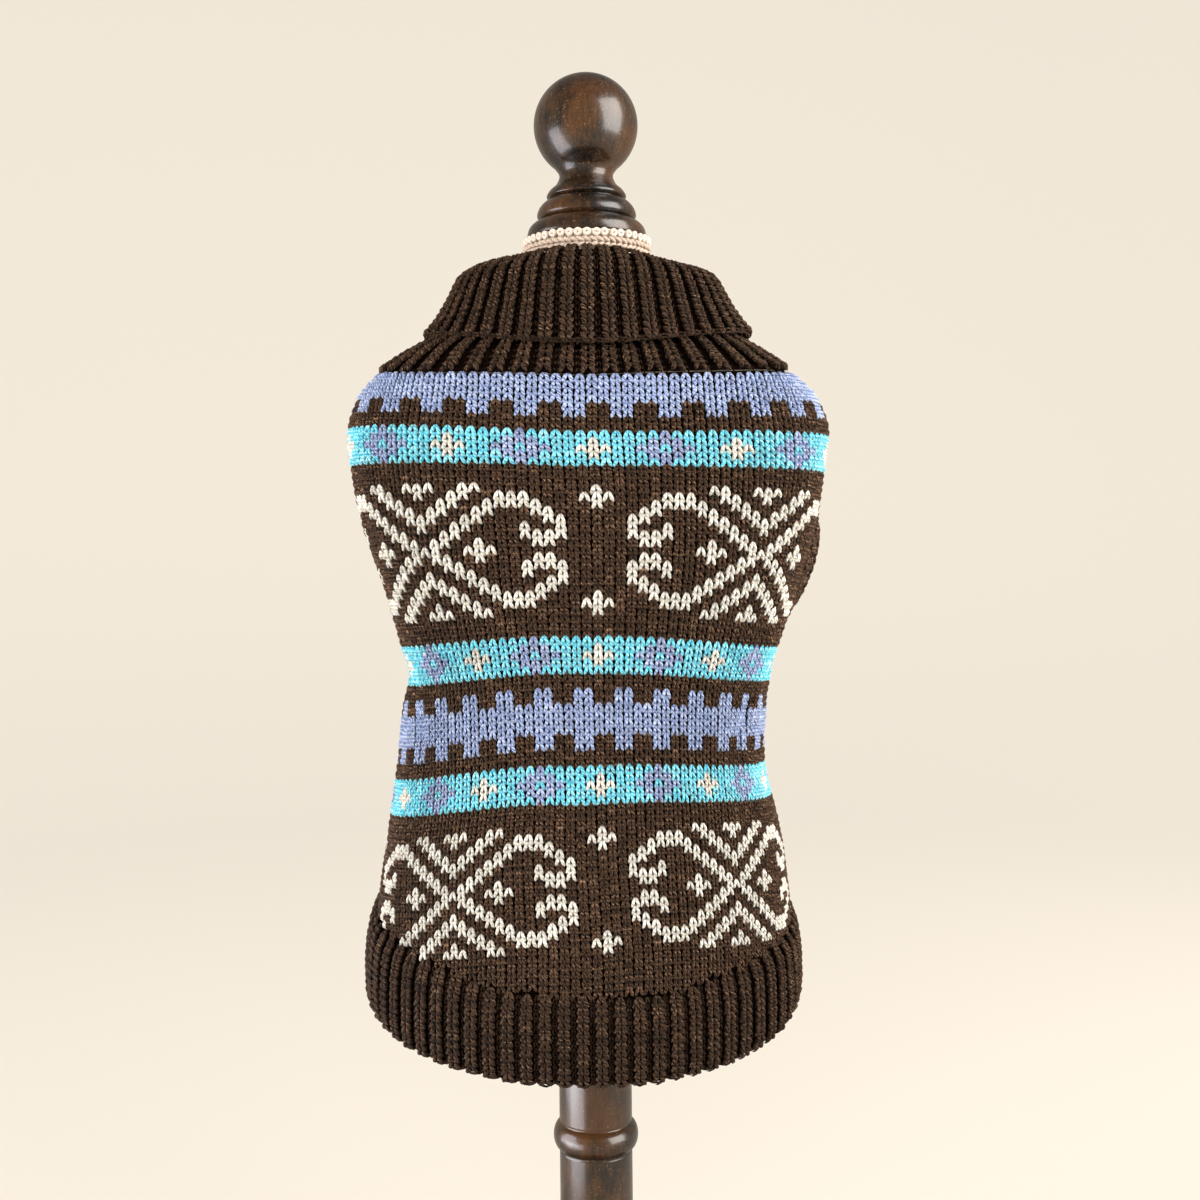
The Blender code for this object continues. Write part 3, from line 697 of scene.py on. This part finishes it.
def collar_stations(angle):
    """Middle of the collar's wall: radius and height from the neck seam to the turned-down edge."""
    seam_height = edge_height(NECK_SEAM, angle) + 0.6
    neck_height = COLLAR_FOLD[-3][0]
    stations = []
    for share in (0.0, 0.3, 0.6, 0.84):
        height = seam_height + (neck_height - seam_height) * share
        point = worn_point(angle, height, -RIB_WALL / 2)
        stations.append(np.stack([np.hypot(point[..., 0], point[..., 1]), point[..., 2]], -1))
    aside = np.sin(angle) ** 2
    sag = curve_value(CREST_SAG, np.degrees(np.arctan2(np.sin(angle), np.cos(angle))), 1)
    for share, (back_height, side_height, half_width, back, belly) in zip(SAG_SHARES, COLLAR_FOLD):
        radius = oval_radius(angle, half_width, back, belly, COLLAR_POWER)
        height = back_height + (side_height - back_height) * aside - sag * share
        stations.append(np.stack([radius, height], -1))
    return np.array(stations)


def smooth_stations(stations, finer):
    """Catmull-Rom curve through the stations of every column."""
    padded = np.concatenate([2 * stations[:1] - stations[1:2], stations, 2 * stations[-1:] - stations[-2:-1]])
    rows = []
    for i in range(len(stations) - 1):
        p0, p1, p2, p3 = padded[i:i + 4]
        for step in range(finer):
            t = step / finer
            rows.append(0.5 * (2 * p1 + (p2 - p0) * t + (2 * p0 - 5 * p1 + 4 * p2 - p3) * t ** 2
                               + (3 * p1 - p0 - 3 * p2 + p3) * t ** 3))
    rows.append(stations[-1])
    return np.array(rows)


def collar_faces(angle, path):
    """Points along the path, with the direction across the wall at each."""
    ahead = unit(np.gradient(path, axis=0))
    aside = np.stack([ahead[..., 1], -ahead[..., 0]], -1)
    sin, cos = np.sin(angle), np.cos(angle)
    place = np.stack([path[..., 0] * sin, -path[..., 0] * cos, path[..., 1]], -1)
    normal = np.stack([aside[..., 0] * sin, -aside[..., 0] * cos, aside[..., 1]], -1)
    return place, normal


columns = COLLAR_RIBS * RIB_POINTS
angles = even_angles(columns, collar_edge_point)
path = smooth_stations(collar_stations(angles), 3)
place, normal = collar_faces(angles, path)
stations = np.linspace(0.0, 12.0, len(path))[:, None]
ridge = rib_ridges(columns)
# The ribs' relief passes from one face of the wall to the other inside the neck
turned_over = np.clip(stations - 4.5, 0.0, 1.0)
ribbed = -0.6 + 0.6 * ridge
plain = RIB_WALL / 2
outer = place + normal * (ribbed * (1 - turned_over) + plain * turned_over)[..., None]
inner = place - normal * (ribbed * turned_over + plain * (1 - turned_over))[..., None]
collar = cloth_wall("collar_ribbing", outer, inner, True)
collar.data.materials.append(SHADED_WOOL_GROUND)
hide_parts("collar")


def rib_stitches(name, place, normal, pitch, flip, filled=RIB_SHARE, sides=LEG_SIDES):
    """Knit columns along ribs. Place and normal are grids, rows along the rib by ribs."""
    centres, across, ups, outs = [], [], [], []
    spacing = np.linalg.norm(np.roll(place, -1, 1) - np.roll(place, 1, 1), axis=-1) / 2
    for j in range(place.shape[1]):
        line = place[:, j]
        length = length_along(line)
        count = max(1, int(round(length[-1] / pitch)))
        marks = (np.arange(count) + 0.5) * length[-1] / count
        centre, after, before, face = (np.stack([np.interp(at, length, grid[:, k]) for k in range(3)], -1)
                                       for at, grid in ((marks, line), (marks + 0.5, line),
                                                        (marks - 0.5, line), (marks, normal[:, j])))
        upward = -unit(after - before) * length[-1] / count
        width = filled * np.interp(marks, length, spacing[:, j])[:, None]
        centres.append(centre)
        across.append(unit(np.cross(upward, unit(face))) * width)
        ups.append(upward)
        outs.append(unit(face))
    return knit(name, *(np.concatenate(part) for part in (centres, across, ups, outs)), flip, sides)


def edge_chain(name, line, facing, width, pitch):
    """Cast-off chain along a closed edge: stitches laid end to end, each through the one before."""
    line = np.concatenate([line, line[:1]])
    facing = np.concatenate([facing, facing[:1]])
    length = length_along(line)
    count = int(round(length[-1] / pitch))
    marks = (np.arange(count) + 0.5) * length[-1] / count
    centre, ahead, face = (np.stack([np.interp(at % length[-1], length, grid[:, k]) for k in range(3)], -1)
                           for at, grid in ((marks, line), (marks + 0.4, line), (marks, facing)))
    ahead = unit(ahead - centre)
    return knit(name, centre, unit(np.cross(ahead, face)) * width, ahead * length[-1] / count, unit(face))


# Rows of the path from the neck seam up, and over the fold; the rows between are hidden
yoke = slice(0, 20)
fold = slice(30, None)
# Knit columns stand out on the ribs, purl ones lie in the furrows:
# kind, first column of points, lift over the middle of the wall (mm), share filled, sides of the yarn
collar_knitting = []
for kind, offset, lift, filled, sides in (("knit", 0, 0.7, RIB_SHARE, 5),
                                          ("purl", RIB_POINTS // 2, -1.1, FURROW_SHARE, 4)):
    rib_angles = angles[offset::RIB_POINTS]
    rib_path = smooth_stations(collar_stations(rib_angles), 6)
    rib_place, rib_normal = collar_faces(rib_angles, rib_path)
    collar_knitting.append(rib_stitches(f"yoke_{kind}", (rib_place + rib_normal * lift)[yoke][::-1],
                                        rib_normal[yoke][::-1], RIB_STITCH, False, filled, sides))
    collar_knitting.append(rib_stitches(f"collar_{kind}", (rib_place - rib_normal * lift)[fold],
                                        -rib_normal[fold], RIB_STITCH, True, filled, sides))
edge_down = unit(place[-1] - place[-2])
scallop = ridge[:, None]
collar_knitting.append(edge_chain("collar_chain", place[-1] - normal[-1] * (0.4 * scallop - 0.3)
                                  + edge_down * (0.4 * scallop - 0.6), edge_down - normal[-1],
                                  CHAIN_WIDTH, CHAIN_STITCH))
# The darker ribbing yarn paints the shade that the collar's ribs cast on each other.
for piece in collar_knitting:
    piece.data.materials.append(YARNS["ribbing"])

# Hem band
# The hem is a band of one-by-one wool ribbing, knitted on round the lower edge of both panels.
# It dips over the back, rises over the belly and draws in at its cast-off edge.

# Height of the lower edge (angle from the middle of the back, mm), and its tilt down to the right (mm)
HEM_EDGE = ((0, 154.8), (20, 155.6), (30, 157.2), (45, 160.2), (60, 165.0), (75, 171.0), (110, 184.5),
            (145, 198.0), (180, 204.0))
HEM_EDGE_TILT = 1.0
HEM_RIBS = 72
# How far the ribs and the wall's inner face stand from the worn cloth (share of the way down, mm, mm)
HEM_PROFILE = ((0.0, 0.4, -2.0), (0.18, 2.8, -0.6), (0.82, 3.2, 0.3), (1.0, 2.0, 0.4))


def hem_points(angle, share, out):
    """Points in the band, a share of the way from its seam to its lower edge."""
    top = hem_seam(angle) - SEAM_GAP / 2
    edge = edge_height(HEM_EDGE, angle) - HEM_EDGE_TILT * np.sin(angle)
    return worn_point(angle, top + (edge - top) * share, out)


columns = HEM_RIBS * RIB_POINTS
angles = even_angles(columns, lambda angle: body_point(angle, np.full_like(angle, HEM_SEAM[0][1])))
ridge = rib_ridges(columns)
outer, inner = [], []
for share in np.linspace(0.0, 1.0, 15):
    stand, under = curve_value(HEM_PROFILE, share, 1), curve_value(HEM_PROFILE, share, 2)
    outer.append(hem_points(angles, share, stand - 2.6 + 0.6 * ridge))
    inner.append(hem_points(angles, share, np.full(columns, min(under, stand - 3.1))))
hem_band = cloth_wall("hem_ribbing", np.array(outer), np.array(inner), True)
hem_band.data.materials.append(SHADED_WOOL_GROUND)
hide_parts("hem_band")
hem_knitting = []
for kind, offset, depth, filled, sides in (("knit", 0, 1.2, RIB_SHARE, 5),
                                           ("purl", RIB_POINTS // 2, 2.9, FURROW_SHARE, 4)):
    rib_angles = angles[offset::RIB_POINTS]
    rib_place = np.array([hem_points(rib_angles, share, float(curve_value(HEM_PROFILE, share, 1)) - depth)
                          for share in np.linspace(0.0, 1.0, 24)])
    rib_normal = np.array([body_normal(rib_angles, point[:, 2]) for point in rib_place])
    hem_knitting.append(rib_stitches(f"hem_{kind}", rib_place, rib_normal, RIB_STITCH, False, filled, sides))
edge_line = hem_points(angles, 1.0, float(curve_value(HEM_PROFILE, 1.0, 1)) - 2.3 + 0.7 * ridge)
edge_line += np.array([0.0, 0.0, 1.0]) * (0.9 - 0.9 * ridge[:, None])
edge_facing = body_normal(angles, edge_line[:, 2]) - np.array([0.0, 0.0, 1.0])
hem_knitting.append(edge_chain("hem_chain", edge_line, edge_facing, CHAIN_WIDTH, CHAIN_STITCH))
# The darker ribbing yarn paints the shade that the hem's ribs cast on each other.
for piece in hem_knitting:
    piece.data.materials.append(YARNS["ribbing"])

# Leg cuffs
# Each leg opening has a narrow cuff of one-by-one wool ribbing, worked on stitches picked up round it.
# The cuff closes in over the opening at its seam and turns outwards to its cast-off edge.
CUFF_WIDTH = 10.0
CUFF_RIBS = 20
# Steps across a cuff, and how far it leans in over the opening at the seam and at the edge
# (degrees from straight out)
CUFF_STEPS = 10
CUFF_LEAN = (90.0, 48.0)
CUFF_STITCH = 2.6


def cuff_rim(side, count):
    """Points round a leg opening: angles and heights, down the back panel and up the belly panel."""
    sign = 1.0 if side == "right" else -1.0
    back, belly = LEG_REACH[side]
    turn = 2 * math.pi * np.arange(count) / count
    height = LEG_HEIGHT + LEG_HALF_HEIGHT * np.cos(turn)
    reach = np.where(np.sin(turn) >= 0, back, belly)
    return np.radians(sign * (SEAM_ANGLE - reach * np.sin(turn))), height


for side in ("left", "right"):
    sign = 1.0 if side == "right" else -1.0
    rim_angles, rim_heights = cuff_rim(side, CUFF_RIBS * RIB_POINTS)
    back, belly = LEG_REACH[side]
    middle_angle = math.radians(sign * (SEAM_ANGLE + (belly - back) / 2))
    middle = worn_point(np.array(middle_angle), np.array(LEG_HEIGHT), 0.0)
    facing = body_normal(rim_angles, rim_heights)
    place = worn_point(rim_angles, rim_heights, 0.0)
    inward = middle - place
    inward = unit(inward - facing * (inward * facing).sum(-1, keepdims=True))
    place = place + inward * 0.3
    ridge = rib_ridges(CUFF_RIBS * RIB_POINTS)
    outer, inner, line, face = [], [], [], []
    for i in range(CUFF_STEPS + 1):
        lean = math.radians(CUFF_LEAN[0] + (CUFF_LEAN[1] - CUFF_LEAN[0]) * i / CUFF_STEPS)
        ahead = facing * math.cos(lean) + inward * math.sin(lean)
        aside = facing * math.sin(lean) - inward * math.cos(lean)
        outer.append(place + aside * (-0.9 + 0.4 * ridge)[:, None])
        inner.append(place - aside * 1.6)
        line.append(place)
        face.append(aside)
        place = place + ahead * (CUFF_WIDTH / CUFF_STEPS)
    cuff = cloth_wall(f"leg_ribbing_{side}", np.array(outer), np.array(inner), True)
    cuff.data.materials.append(SHADED_WOOL_GROUND)
    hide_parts(f"leg_cuff_{side}")
    line, face = np.array(line), np.array(face)
    on_rib, in_furrow = slice(None, None, RIB_POINTS), slice(RIB_POINTS // 2, None, RIB_POINTS)
    knitting = [
        rib_stitches(f"leg_knit_{side}", (line + face * 0.35)[:, on_rib], face[:, on_rib],
                     CUFF_STITCH, False),
        rib_stitches(f"leg_purl_{side}", (line - face * 0.3)[:, in_furrow], face[:, in_furrow],
                     CUFF_STITCH, False, 0.6),
        edge_chain(f"leg_chain_{side}", line[-1], face[-1] + ahead, 3.4, 3.4),
        edge_chain(f"leg_seam_{side}", line[0] - inward * 0.5 - face[0] * 0.5, face[0], 2.4, 3.0),
    ]
    for piece in knitting:
        piece.data.materials.append(YARNS["brown"])

# Torso of the form
# The limbless form is a padded body under a tight cover of plain cream linen.
# Only its neck and its flat foot show, above the collar and under the hem.


def linen_material():
    """Plain linen: threads 0.6 mm apart both ways, slubbed and slightly uneven in colour."""
    material, tree, shader = new_material("cream_linen", 0.9, 0.2)
    where = node(tree, "ShaderNodeTexCoord").outputs["Object"]
    threads = {"Vector": where, "Scale": WAVE_REPEAT / (0.60415 * MM), "Distortion": 1.5}
    weft = node(tree, "ShaderNodeTexWave", threads, bands_direction="Z")
    warp = node(tree, "ShaderNodeTexWave", threads, bands_direction="X")
    cloth = node(tree, "ShaderNodeMath", {0: weft.outputs["Fac"], 1: warp.outputs["Fac"]}, operation="ADD")
    # Slubs 4.5 mm apart
    slub = node(tree, "ShaderNodeTexNoise", {"Vector": where, "Scale": 0.22 / MM, "Detail": 5.0})
    ramp = node(tree, "ShaderNodeValToRGB", {0: slub.outputs["Fac"]})
    ramp.color_ramp.elements[0].color = colour("cdbfa4")
    ramp.color_ramp.elements[1].color = colour("eee4cf")
    tree.links.new(ramp.outputs[0], shader.inputs["Base Color"])
    bump = node(tree, "ShaderNodeBump", {"Height": cloth.outputs[0], "Strength": 0.5, "Distance": 0.2 * MM})
    tree.links.new(bump.outputs[0], shader.inputs["Normal"])
    return material


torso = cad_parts["form_torso"]
torso.data.materials.clear()
torso.data.materials.append(linen_material())

# Neck braid
# Cream cotton gimp braid hides the linen's raw edge at the neck, stuck on under the wooden cap.
# A twisted cord runs along it, with small looped picots side by side above.
BRAID_RADIUS = 24.9
CORD_HEIGHT = 464.2
CORD_STITCHES = 62
PICOTS = 45
PICOT_HEIGHT = 468.1
# Half width and half height of a loop, and half thickness of its thread (mm)
PICOT_SIZE = (0.93, 0.9)
PICOT_THREAD = 0.8


def braid_material(name, dark, light):
    """Cotton braid thread with a slight shine, its fibres 0.8 mm apart so that they show."""
    material, tree, shader = new_material(name, 0.6, 0.3)
    where = node(tree, "ShaderNodeTexCoord").outputs["Object"]
    thread = node(tree, "ShaderNodeTexNoise", {"Vector": where, "Scale": 1.2 / MM, "Detail": 3.0})
    ramp = node(tree, "ShaderNodeValToRGB", {0: thread.outputs["Fac"]})
    ramp.color_ramp.elements[0].color = colour(dark)
    ramp.color_ramp.elements[1].color = colour(light)
    tree.links.new(ramp.outputs[0], shader.inputs["Base Color"])
    bump = node(tree, "ShaderNodeBump", {"Height": thread.outputs["Fac"], "Strength": 0.6,
                                         "Distance": 0.3 * MM})
    tree.links.new(bump.outputs[0], shader.inputs["Normal"])
    return material


def thread_loop(line, thickness, sides):
    """Points and faces of a closed loop of round thread along points in mm."""
    ahead = unit(np.roll(line, -1, 0) - np.roll(line, 1, 0))
    away = line * np.array([1.0, 1.0, 0.0])
    first = unit(away - ahead * (away * ahead).sum(-1, keepdims=True))
    second = np.cross(ahead, first)
    turn = 2 * math.pi * np.arange(sides) / sides
    ring = (line[:, None] + first[:, None] * np.cos(turn)[None, :, None] * thickness
            + second[:, None] * np.sin(turn)[None, :, None] * thickness)
    last, j = (len(line) - 1) * sides, np.arange(sides)
    k = (j + 1) % sides
    closing = np.stack([last + j, j, k, last + k], -1)
    return ring.reshape(-1, 3), np.concatenate([grid_faces(len(line), sides, True), closing])


turn = 2 * math.pi * np.arange(CORD_STITCHES) / CORD_STITCHES
radial = np.stack([np.sin(turn), -np.cos(turn), np.zeros_like(turn)], -1)
tangent = np.stack([np.cos(turn), np.sin(turn), np.zeros_like(turn)], -1)
centre = radial * (BRAID_RADIUS - 0.3) + np.array([0.0, 0.0, CORD_HEIGHT])
upright = np.broadcast_to(np.array([0.0, 0.0, 4.6]), centre.shape)
cord = knit("neck_cord", centre, upright, tangent * 2.5, radial)
points, faces, start = [], [], 0
turn = 2 * math.pi * np.arange(12) / 12
for k in range(PICOTS):
    middle = 2 * math.pi * k / PICOTS + rng.normal(0.0, 0.006)
    sweep = middle + PICOT_SIZE[0] * np.sin(turn) / BRAID_RADIUS
    radius = BRAID_RADIUS - 0.1 + 0.25 * np.cos(turn)
    height = PICOT_HEIGHT + rng.normal(0.0, 0.1) + PICOT_SIZE[1] * np.cos(turn)
    line = np.stack([radius * np.sin(sweep), -radius * np.cos(sweep), height], -1)
    ring, quads = thread_loop(line, PICOT_THREAD, 6)
    points.append(ring)
    faces.append(quads + start)
    start += len(ring)
picots = add_piece("neck_picots", np.concatenate(points), np.concatenate(faces))
cord.data.materials.append(braid_material("gimp_cord", "a8917f", "dccabb"))
picots.data.materials.append(braid_material("gimp_loops", "c2b2a5", "f2e6db"))
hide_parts("neck_braid")

# Finial
# The neck cap is one piece of dark walnut, turned to a stepped cap, a waist and a ball.
# It is lacquered to a gloss and closes the neck of the form over the braid.

# Outline of the cap from the waist down (radius, height, mm)
CAP_OUTLINE = (
    (10.9, 496.5), (10.8, 494.5), (12.2, 491.6), (14.6, 489.4), (15.9, 487.2), (15.2, 486.2), (14.4, 485.4),
    (16.6, 484.7), (18.9, 482.2), (19.8, 479.4), (19.0, 477.9), (18.0, 477.1), (20.6, 476.4), (22.9, 474.2),
    (23.7, 471.6), (23.5, 470.0),
)
BALL_RADIUS = 20.8
BALL_HEIGHT = 515.4


def wood_material():
    """Dark walnut under gloss lacquer: fine upright grain, amber where the light passes through."""
    material, tree, shader = new_material("dark_wood", 0.32)
    shader.inputs["Coat Weight"].default_value = 0.7
    shader.inputs["Coat Roughness"].default_value = 0.16
    # Grain 1.4 mm wide and eight times as long, figure 25 mm wide and pores 0.7 mm apart
    where = node(tree, "ShaderNodeTexCoord").outputs["Object"]
    stretch = node(tree, "ShaderNodeMapping", {"Vector": where, "Scale": (1.0, 1.0, 0.12)})
    grain = node(tree, "ShaderNodeTexNoise", {"Vector": stretch.outputs[0], "Scale": 0.7 / MM, "Detail": 8.0,
                                              "Roughness": 0.7})
    figure = node(tree, "ShaderNodeTexNoise", {"Vector": where, "Scale": 0.04 / MM, "Detail": 3.0})
    both = node(tree, "ShaderNodeMix", {0: 0.62, 2: grain.outputs["Fac"], 3: figure.outputs["Fac"]})
    ramp = node(tree, "ShaderNodeValToRGB", {0: both.outputs[0]})
    ramp.color_ramp.elements[0].position = 0.44
    ramp.color_ramp.elements[0].color = colour("0a0806")
    ramp.color_ramp.elements[1].position = 0.61
    ramp.color_ramp.elements[1].color = colour("4d3016")
    pores = node(tree, "ShaderNodeTexNoise", {"Vector": where, "Scale": 1.4 / MM, "Detail": 2.0})
    dust = node(tree, "ShaderNodeMapRange", {0: pores.outputs["Fac"], 1: 0.64, 2: 0.74, 3: 0.0, 4: 0.5})
    speckled = node(tree, "ShaderNodeMix", {0: dust.outputs[0], 6: ramp.outputs[0], 7: colour("a3825c")},
                    data_type="RGBA")
    tree.links.new(speckled.outputs[2], shader.inputs["Base Color"])
    bump = node(tree, "ShaderNodeBump", {"Height": pores.outputs["Fac"], "Strength": 0.25,
                                         "Distance": 0.2 * MM})
    tree.links.new(bump.outputs[0], shader.inputs["Normal"])
    return material


def turned_shape(name, outline, capped=True):
    """Outline of radius and height in mm, spun about the upright axis. Capped, it is closed at both ends."""
    shape = bmesh.new()
    corners = [shape.verts.new((0.0, -radius * MM, height * MM)) for radius, height in outline]
    edges = [shape.edges.new(pair) for pair in zip(corners, corners[1:])]
    bmesh.ops.spin(shape, geom=corners + edges, cent=(0.0, 0.0, 0.0), axis=(0.0, 0.0, 1.0),
                   angle=2 * math.pi, steps=96, use_merge=True)
    if capped:
        bmesh.ops.holes_fill(shape, edges=shape.edges, sides=0)
        bmesh.ops.recalc_face_normals(shape, faces=shape.faces)
    mesh = bpy.data.meshes.new(name)
    shape.to_mesh(mesh)
    shape.free()
    return new_object(name, mesh)


DARK_WOOD = wood_material()
ball = [(max(BALL_RADIUS * math.sin(a), 0.05), BALL_HEIGHT + BALL_RADIUS * math.cos(a))
        for a in np.linspace(0.0, 2.55, 40)]
cap = smooth_stations(np.array(CAP_OUTLINE), 5)
finial = turned_shape("finial", ball[:-1] + cap.tolist())
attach(finial, "root")
finial.data.materials.append(DARK_WOOD)
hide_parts("form_finial")

# Pole and base
# The pole is turned walnut with one bead, and stands between the round base and the form's foot.
# Both are lacquered like the cap, and the base lies flat on the floor.
POLE_RADIUS = 14.5
BEAD_HEIGHT = 113.0
# Outlines (radius, height, mm), with points close beside each edge to keep it crisp
bead = [(POLE_RADIUS - 0.6 + 3.0 * math.sin(a), BEAD_HEIGHT + 5.2 * math.cos(a))
        for a in np.linspace(0.0, math.pi, 13)]
pole = turned_shape("pole", [(13.9, 179.7), (POLE_RADIUS, 179.1), (POLE_RADIUS, 178.4), (POLE_RADIUS, 119.6),
                             (POLE_RADIUS, 119.1)] + bead
                    + [(POLE_RADIUS, 106.9), (POLE_RADIUS, 106.4), (POLE_RADIUS, 23.6), (POLE_RADIUS, 22.9),
                       (13.9, 22.3)])
rim = [(92.5 + 5.5 * math.cos(a), 6.9 + 5.5 * math.sin(a)) for a in np.linspace(1.2, -1.4, 9)]
base = turned_shape("base", [(18.0, 22.0), (19.0, 22.0), (24.0, 20.0), (30.0, 18.5), (31.0, 18.4),
                             (85.0, 15.6), (86.0, 15.5), (93.0, 13.5)] + rim + [(92.5, 0.0), (91.5, 0.0)])
for piece, name in ((pole, "form_pole"), (base, "form_base")):
    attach(piece, "root")
    piece.data.materials.append(DARK_WOOD)
    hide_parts(name)

# Studio
# The set is a pale painted backdrop that curves up from the floor all round.
# A large window lights the form from the right, a weaker one from the left, with a fill in front.


def backdrop_material():
    """Matt painted backdrop, with a glow of its own so that the camera sees it evenly bright."""
    material, tree, shader = new_material("backdrop_paint", 1.0)
    shader.inputs["Specular IOR Level"].default_value = 0.0
    shader.inputs["Base Color"].default_value = colour("827e77")
    seen = node(tree, "ShaderNodeLightPath")
    mirrored = node(tree, "ShaderNodeMath", {0: seen.outputs["Is Glossy Ray"], 1: 0.26}, operation="MULTIPLY")
    glow = node(tree, "ShaderNodeMath", {0: seen.outputs["Is Camera Ray"], 1: 0.824, 2: mirrored.outputs[0]},
                operation="MULTIPLY_ADD")
    shader.inputs["Emission Color"].default_value = colour("f2e9da")
    tree.links.new(glow.outputs[0], shader.inputs["Emission Strength"])
    return material


# Outline of the backdrop from the middle of the floor to the top of its wall (radius, height, mm)
BACKDROP_OUTLINE = (
    (0.02, 0.0), (900.0, 0.0), (1500.0, 40.0), (1900.0, 260.0), (2050.0, 700.0), (2080.0, 1600.0),
    (2080.0, 2600.0),
)
backdrop = turned_shape("backdrop", smooth_stations(np.array(BACKDROP_OUTLINE), 6).tolist(), capped=False)
backdrop.data.materials.append(backdrop_material())


def area_light(name, place, target, size, power, tint, mirrored=True, lights=True):
    """Soft rectangular lamp aimed at a target. It can be kept out of reflections, or show only in them."""
    light = bpy.data.lights.new(name, "AREA")
    light.shape = "RECTANGLE"
    light.size, light.size_y = size
    light.energy = power
    light.color = colour(tint)[:3]
    lamp = bpy.data.objects.new(name, light)
    lamp.location = place
    lamp.rotation_euler = (Vector(target) - Vector(place)).to_track_quat("-Z", "Y").to_euler()
    lamp.visible_camera = False
    lamp.visible_glossy = mirrored
    lamp.visible_diffuse = lights
    bpy.context.scene.collection.objects.link(lamp)


area_light("window_right", (1.1, -0.6, 0.8), (0, 0, 0.38), (1.1, 1.55), 36.0, "fffaf4")
area_light("window_behind", (1.15, 0.2, 0.5), (0, 0, 0.33), (0.5, 0.9), 9.0, "fff1e0", mirrored=False)
area_light("window_left", (-1.0, -0.5, 0.45), (0, 0, 0.36), (0.6, 0.9), 19.0, "fffaf4", mirrored=False)
area_light("front_fill", (-0.15, -1.5, 1.1), (0, 0, 0.3), (0.9, 0.6), 11.0, "fffdf8", mirrored=False)
# Pale reflector cards beside the form: they show only as highlights in the lacquer
area_light("card_by_ball", (-0.36, -0.09, 0.25), (0, 0, 0.5), (0.26, 0.5), 1.9, "f4f6ff", lights=False)
area_light("card_by_pole", (-0.19, -0.11, 0.05), (0, 0, 0.07), (0.2, 0.09), 0.24, "f8f8ff", lights=False)

world = bpy.data.worlds.new("studio")
world.use_nodes = True
world.node_tree.nodes["Background"].inputs["Color"].default_value = colour("fbf8f4")
world.node_tree.nodes["Background"].inputs["Strength"].default_value = 0.18
bpy.context.scene.world = world
bpy.context.scene.view_settings.view_transform = "Standard"

# Side of the square photograph, length of its lens and the point that the camera's axis meets (pixels),
# then the camera's place (m) and roll (degrees)
FRAME_PIXELS = 1200.0
LENS_PIXELS = 1450.0
AXIS_PIXELS = (590.0, 550.0)
CAMERA_PLACE = (0.0, -0.58, 0.346)
CAMERA_ROLL = 0.59
camera_data = bpy.data.cameras.new("camera")
camera_data.sensor_width = 36.0
camera_data.lens = camera_data.sensor_width * LENS_PIXELS / FRAME_PIXELS
camera_data.shift_x = (FRAME_PIXELS / 2 - AXIS_PIXELS[0]) / FRAME_PIXELS
camera_data.shift_y = (AXIS_PIXELS[1] - FRAME_PIXELS / 2) / FRAME_PIXELS
camera_data.clip_start = 0.01
camera = bpy.data.objects.new("camera", camera_data)
camera.matrix_world = (Matrix.Translation(CAMERA_PLACE) @ Matrix.Rotation(math.radians(CAMERA_ROLL), 4, "Y")
                       @ Matrix.Rotation(math.radians(90.0), 4, "X"))
bpy.context.scene.collection.objects.link(camera)
bpy.context.scene.camera = camera
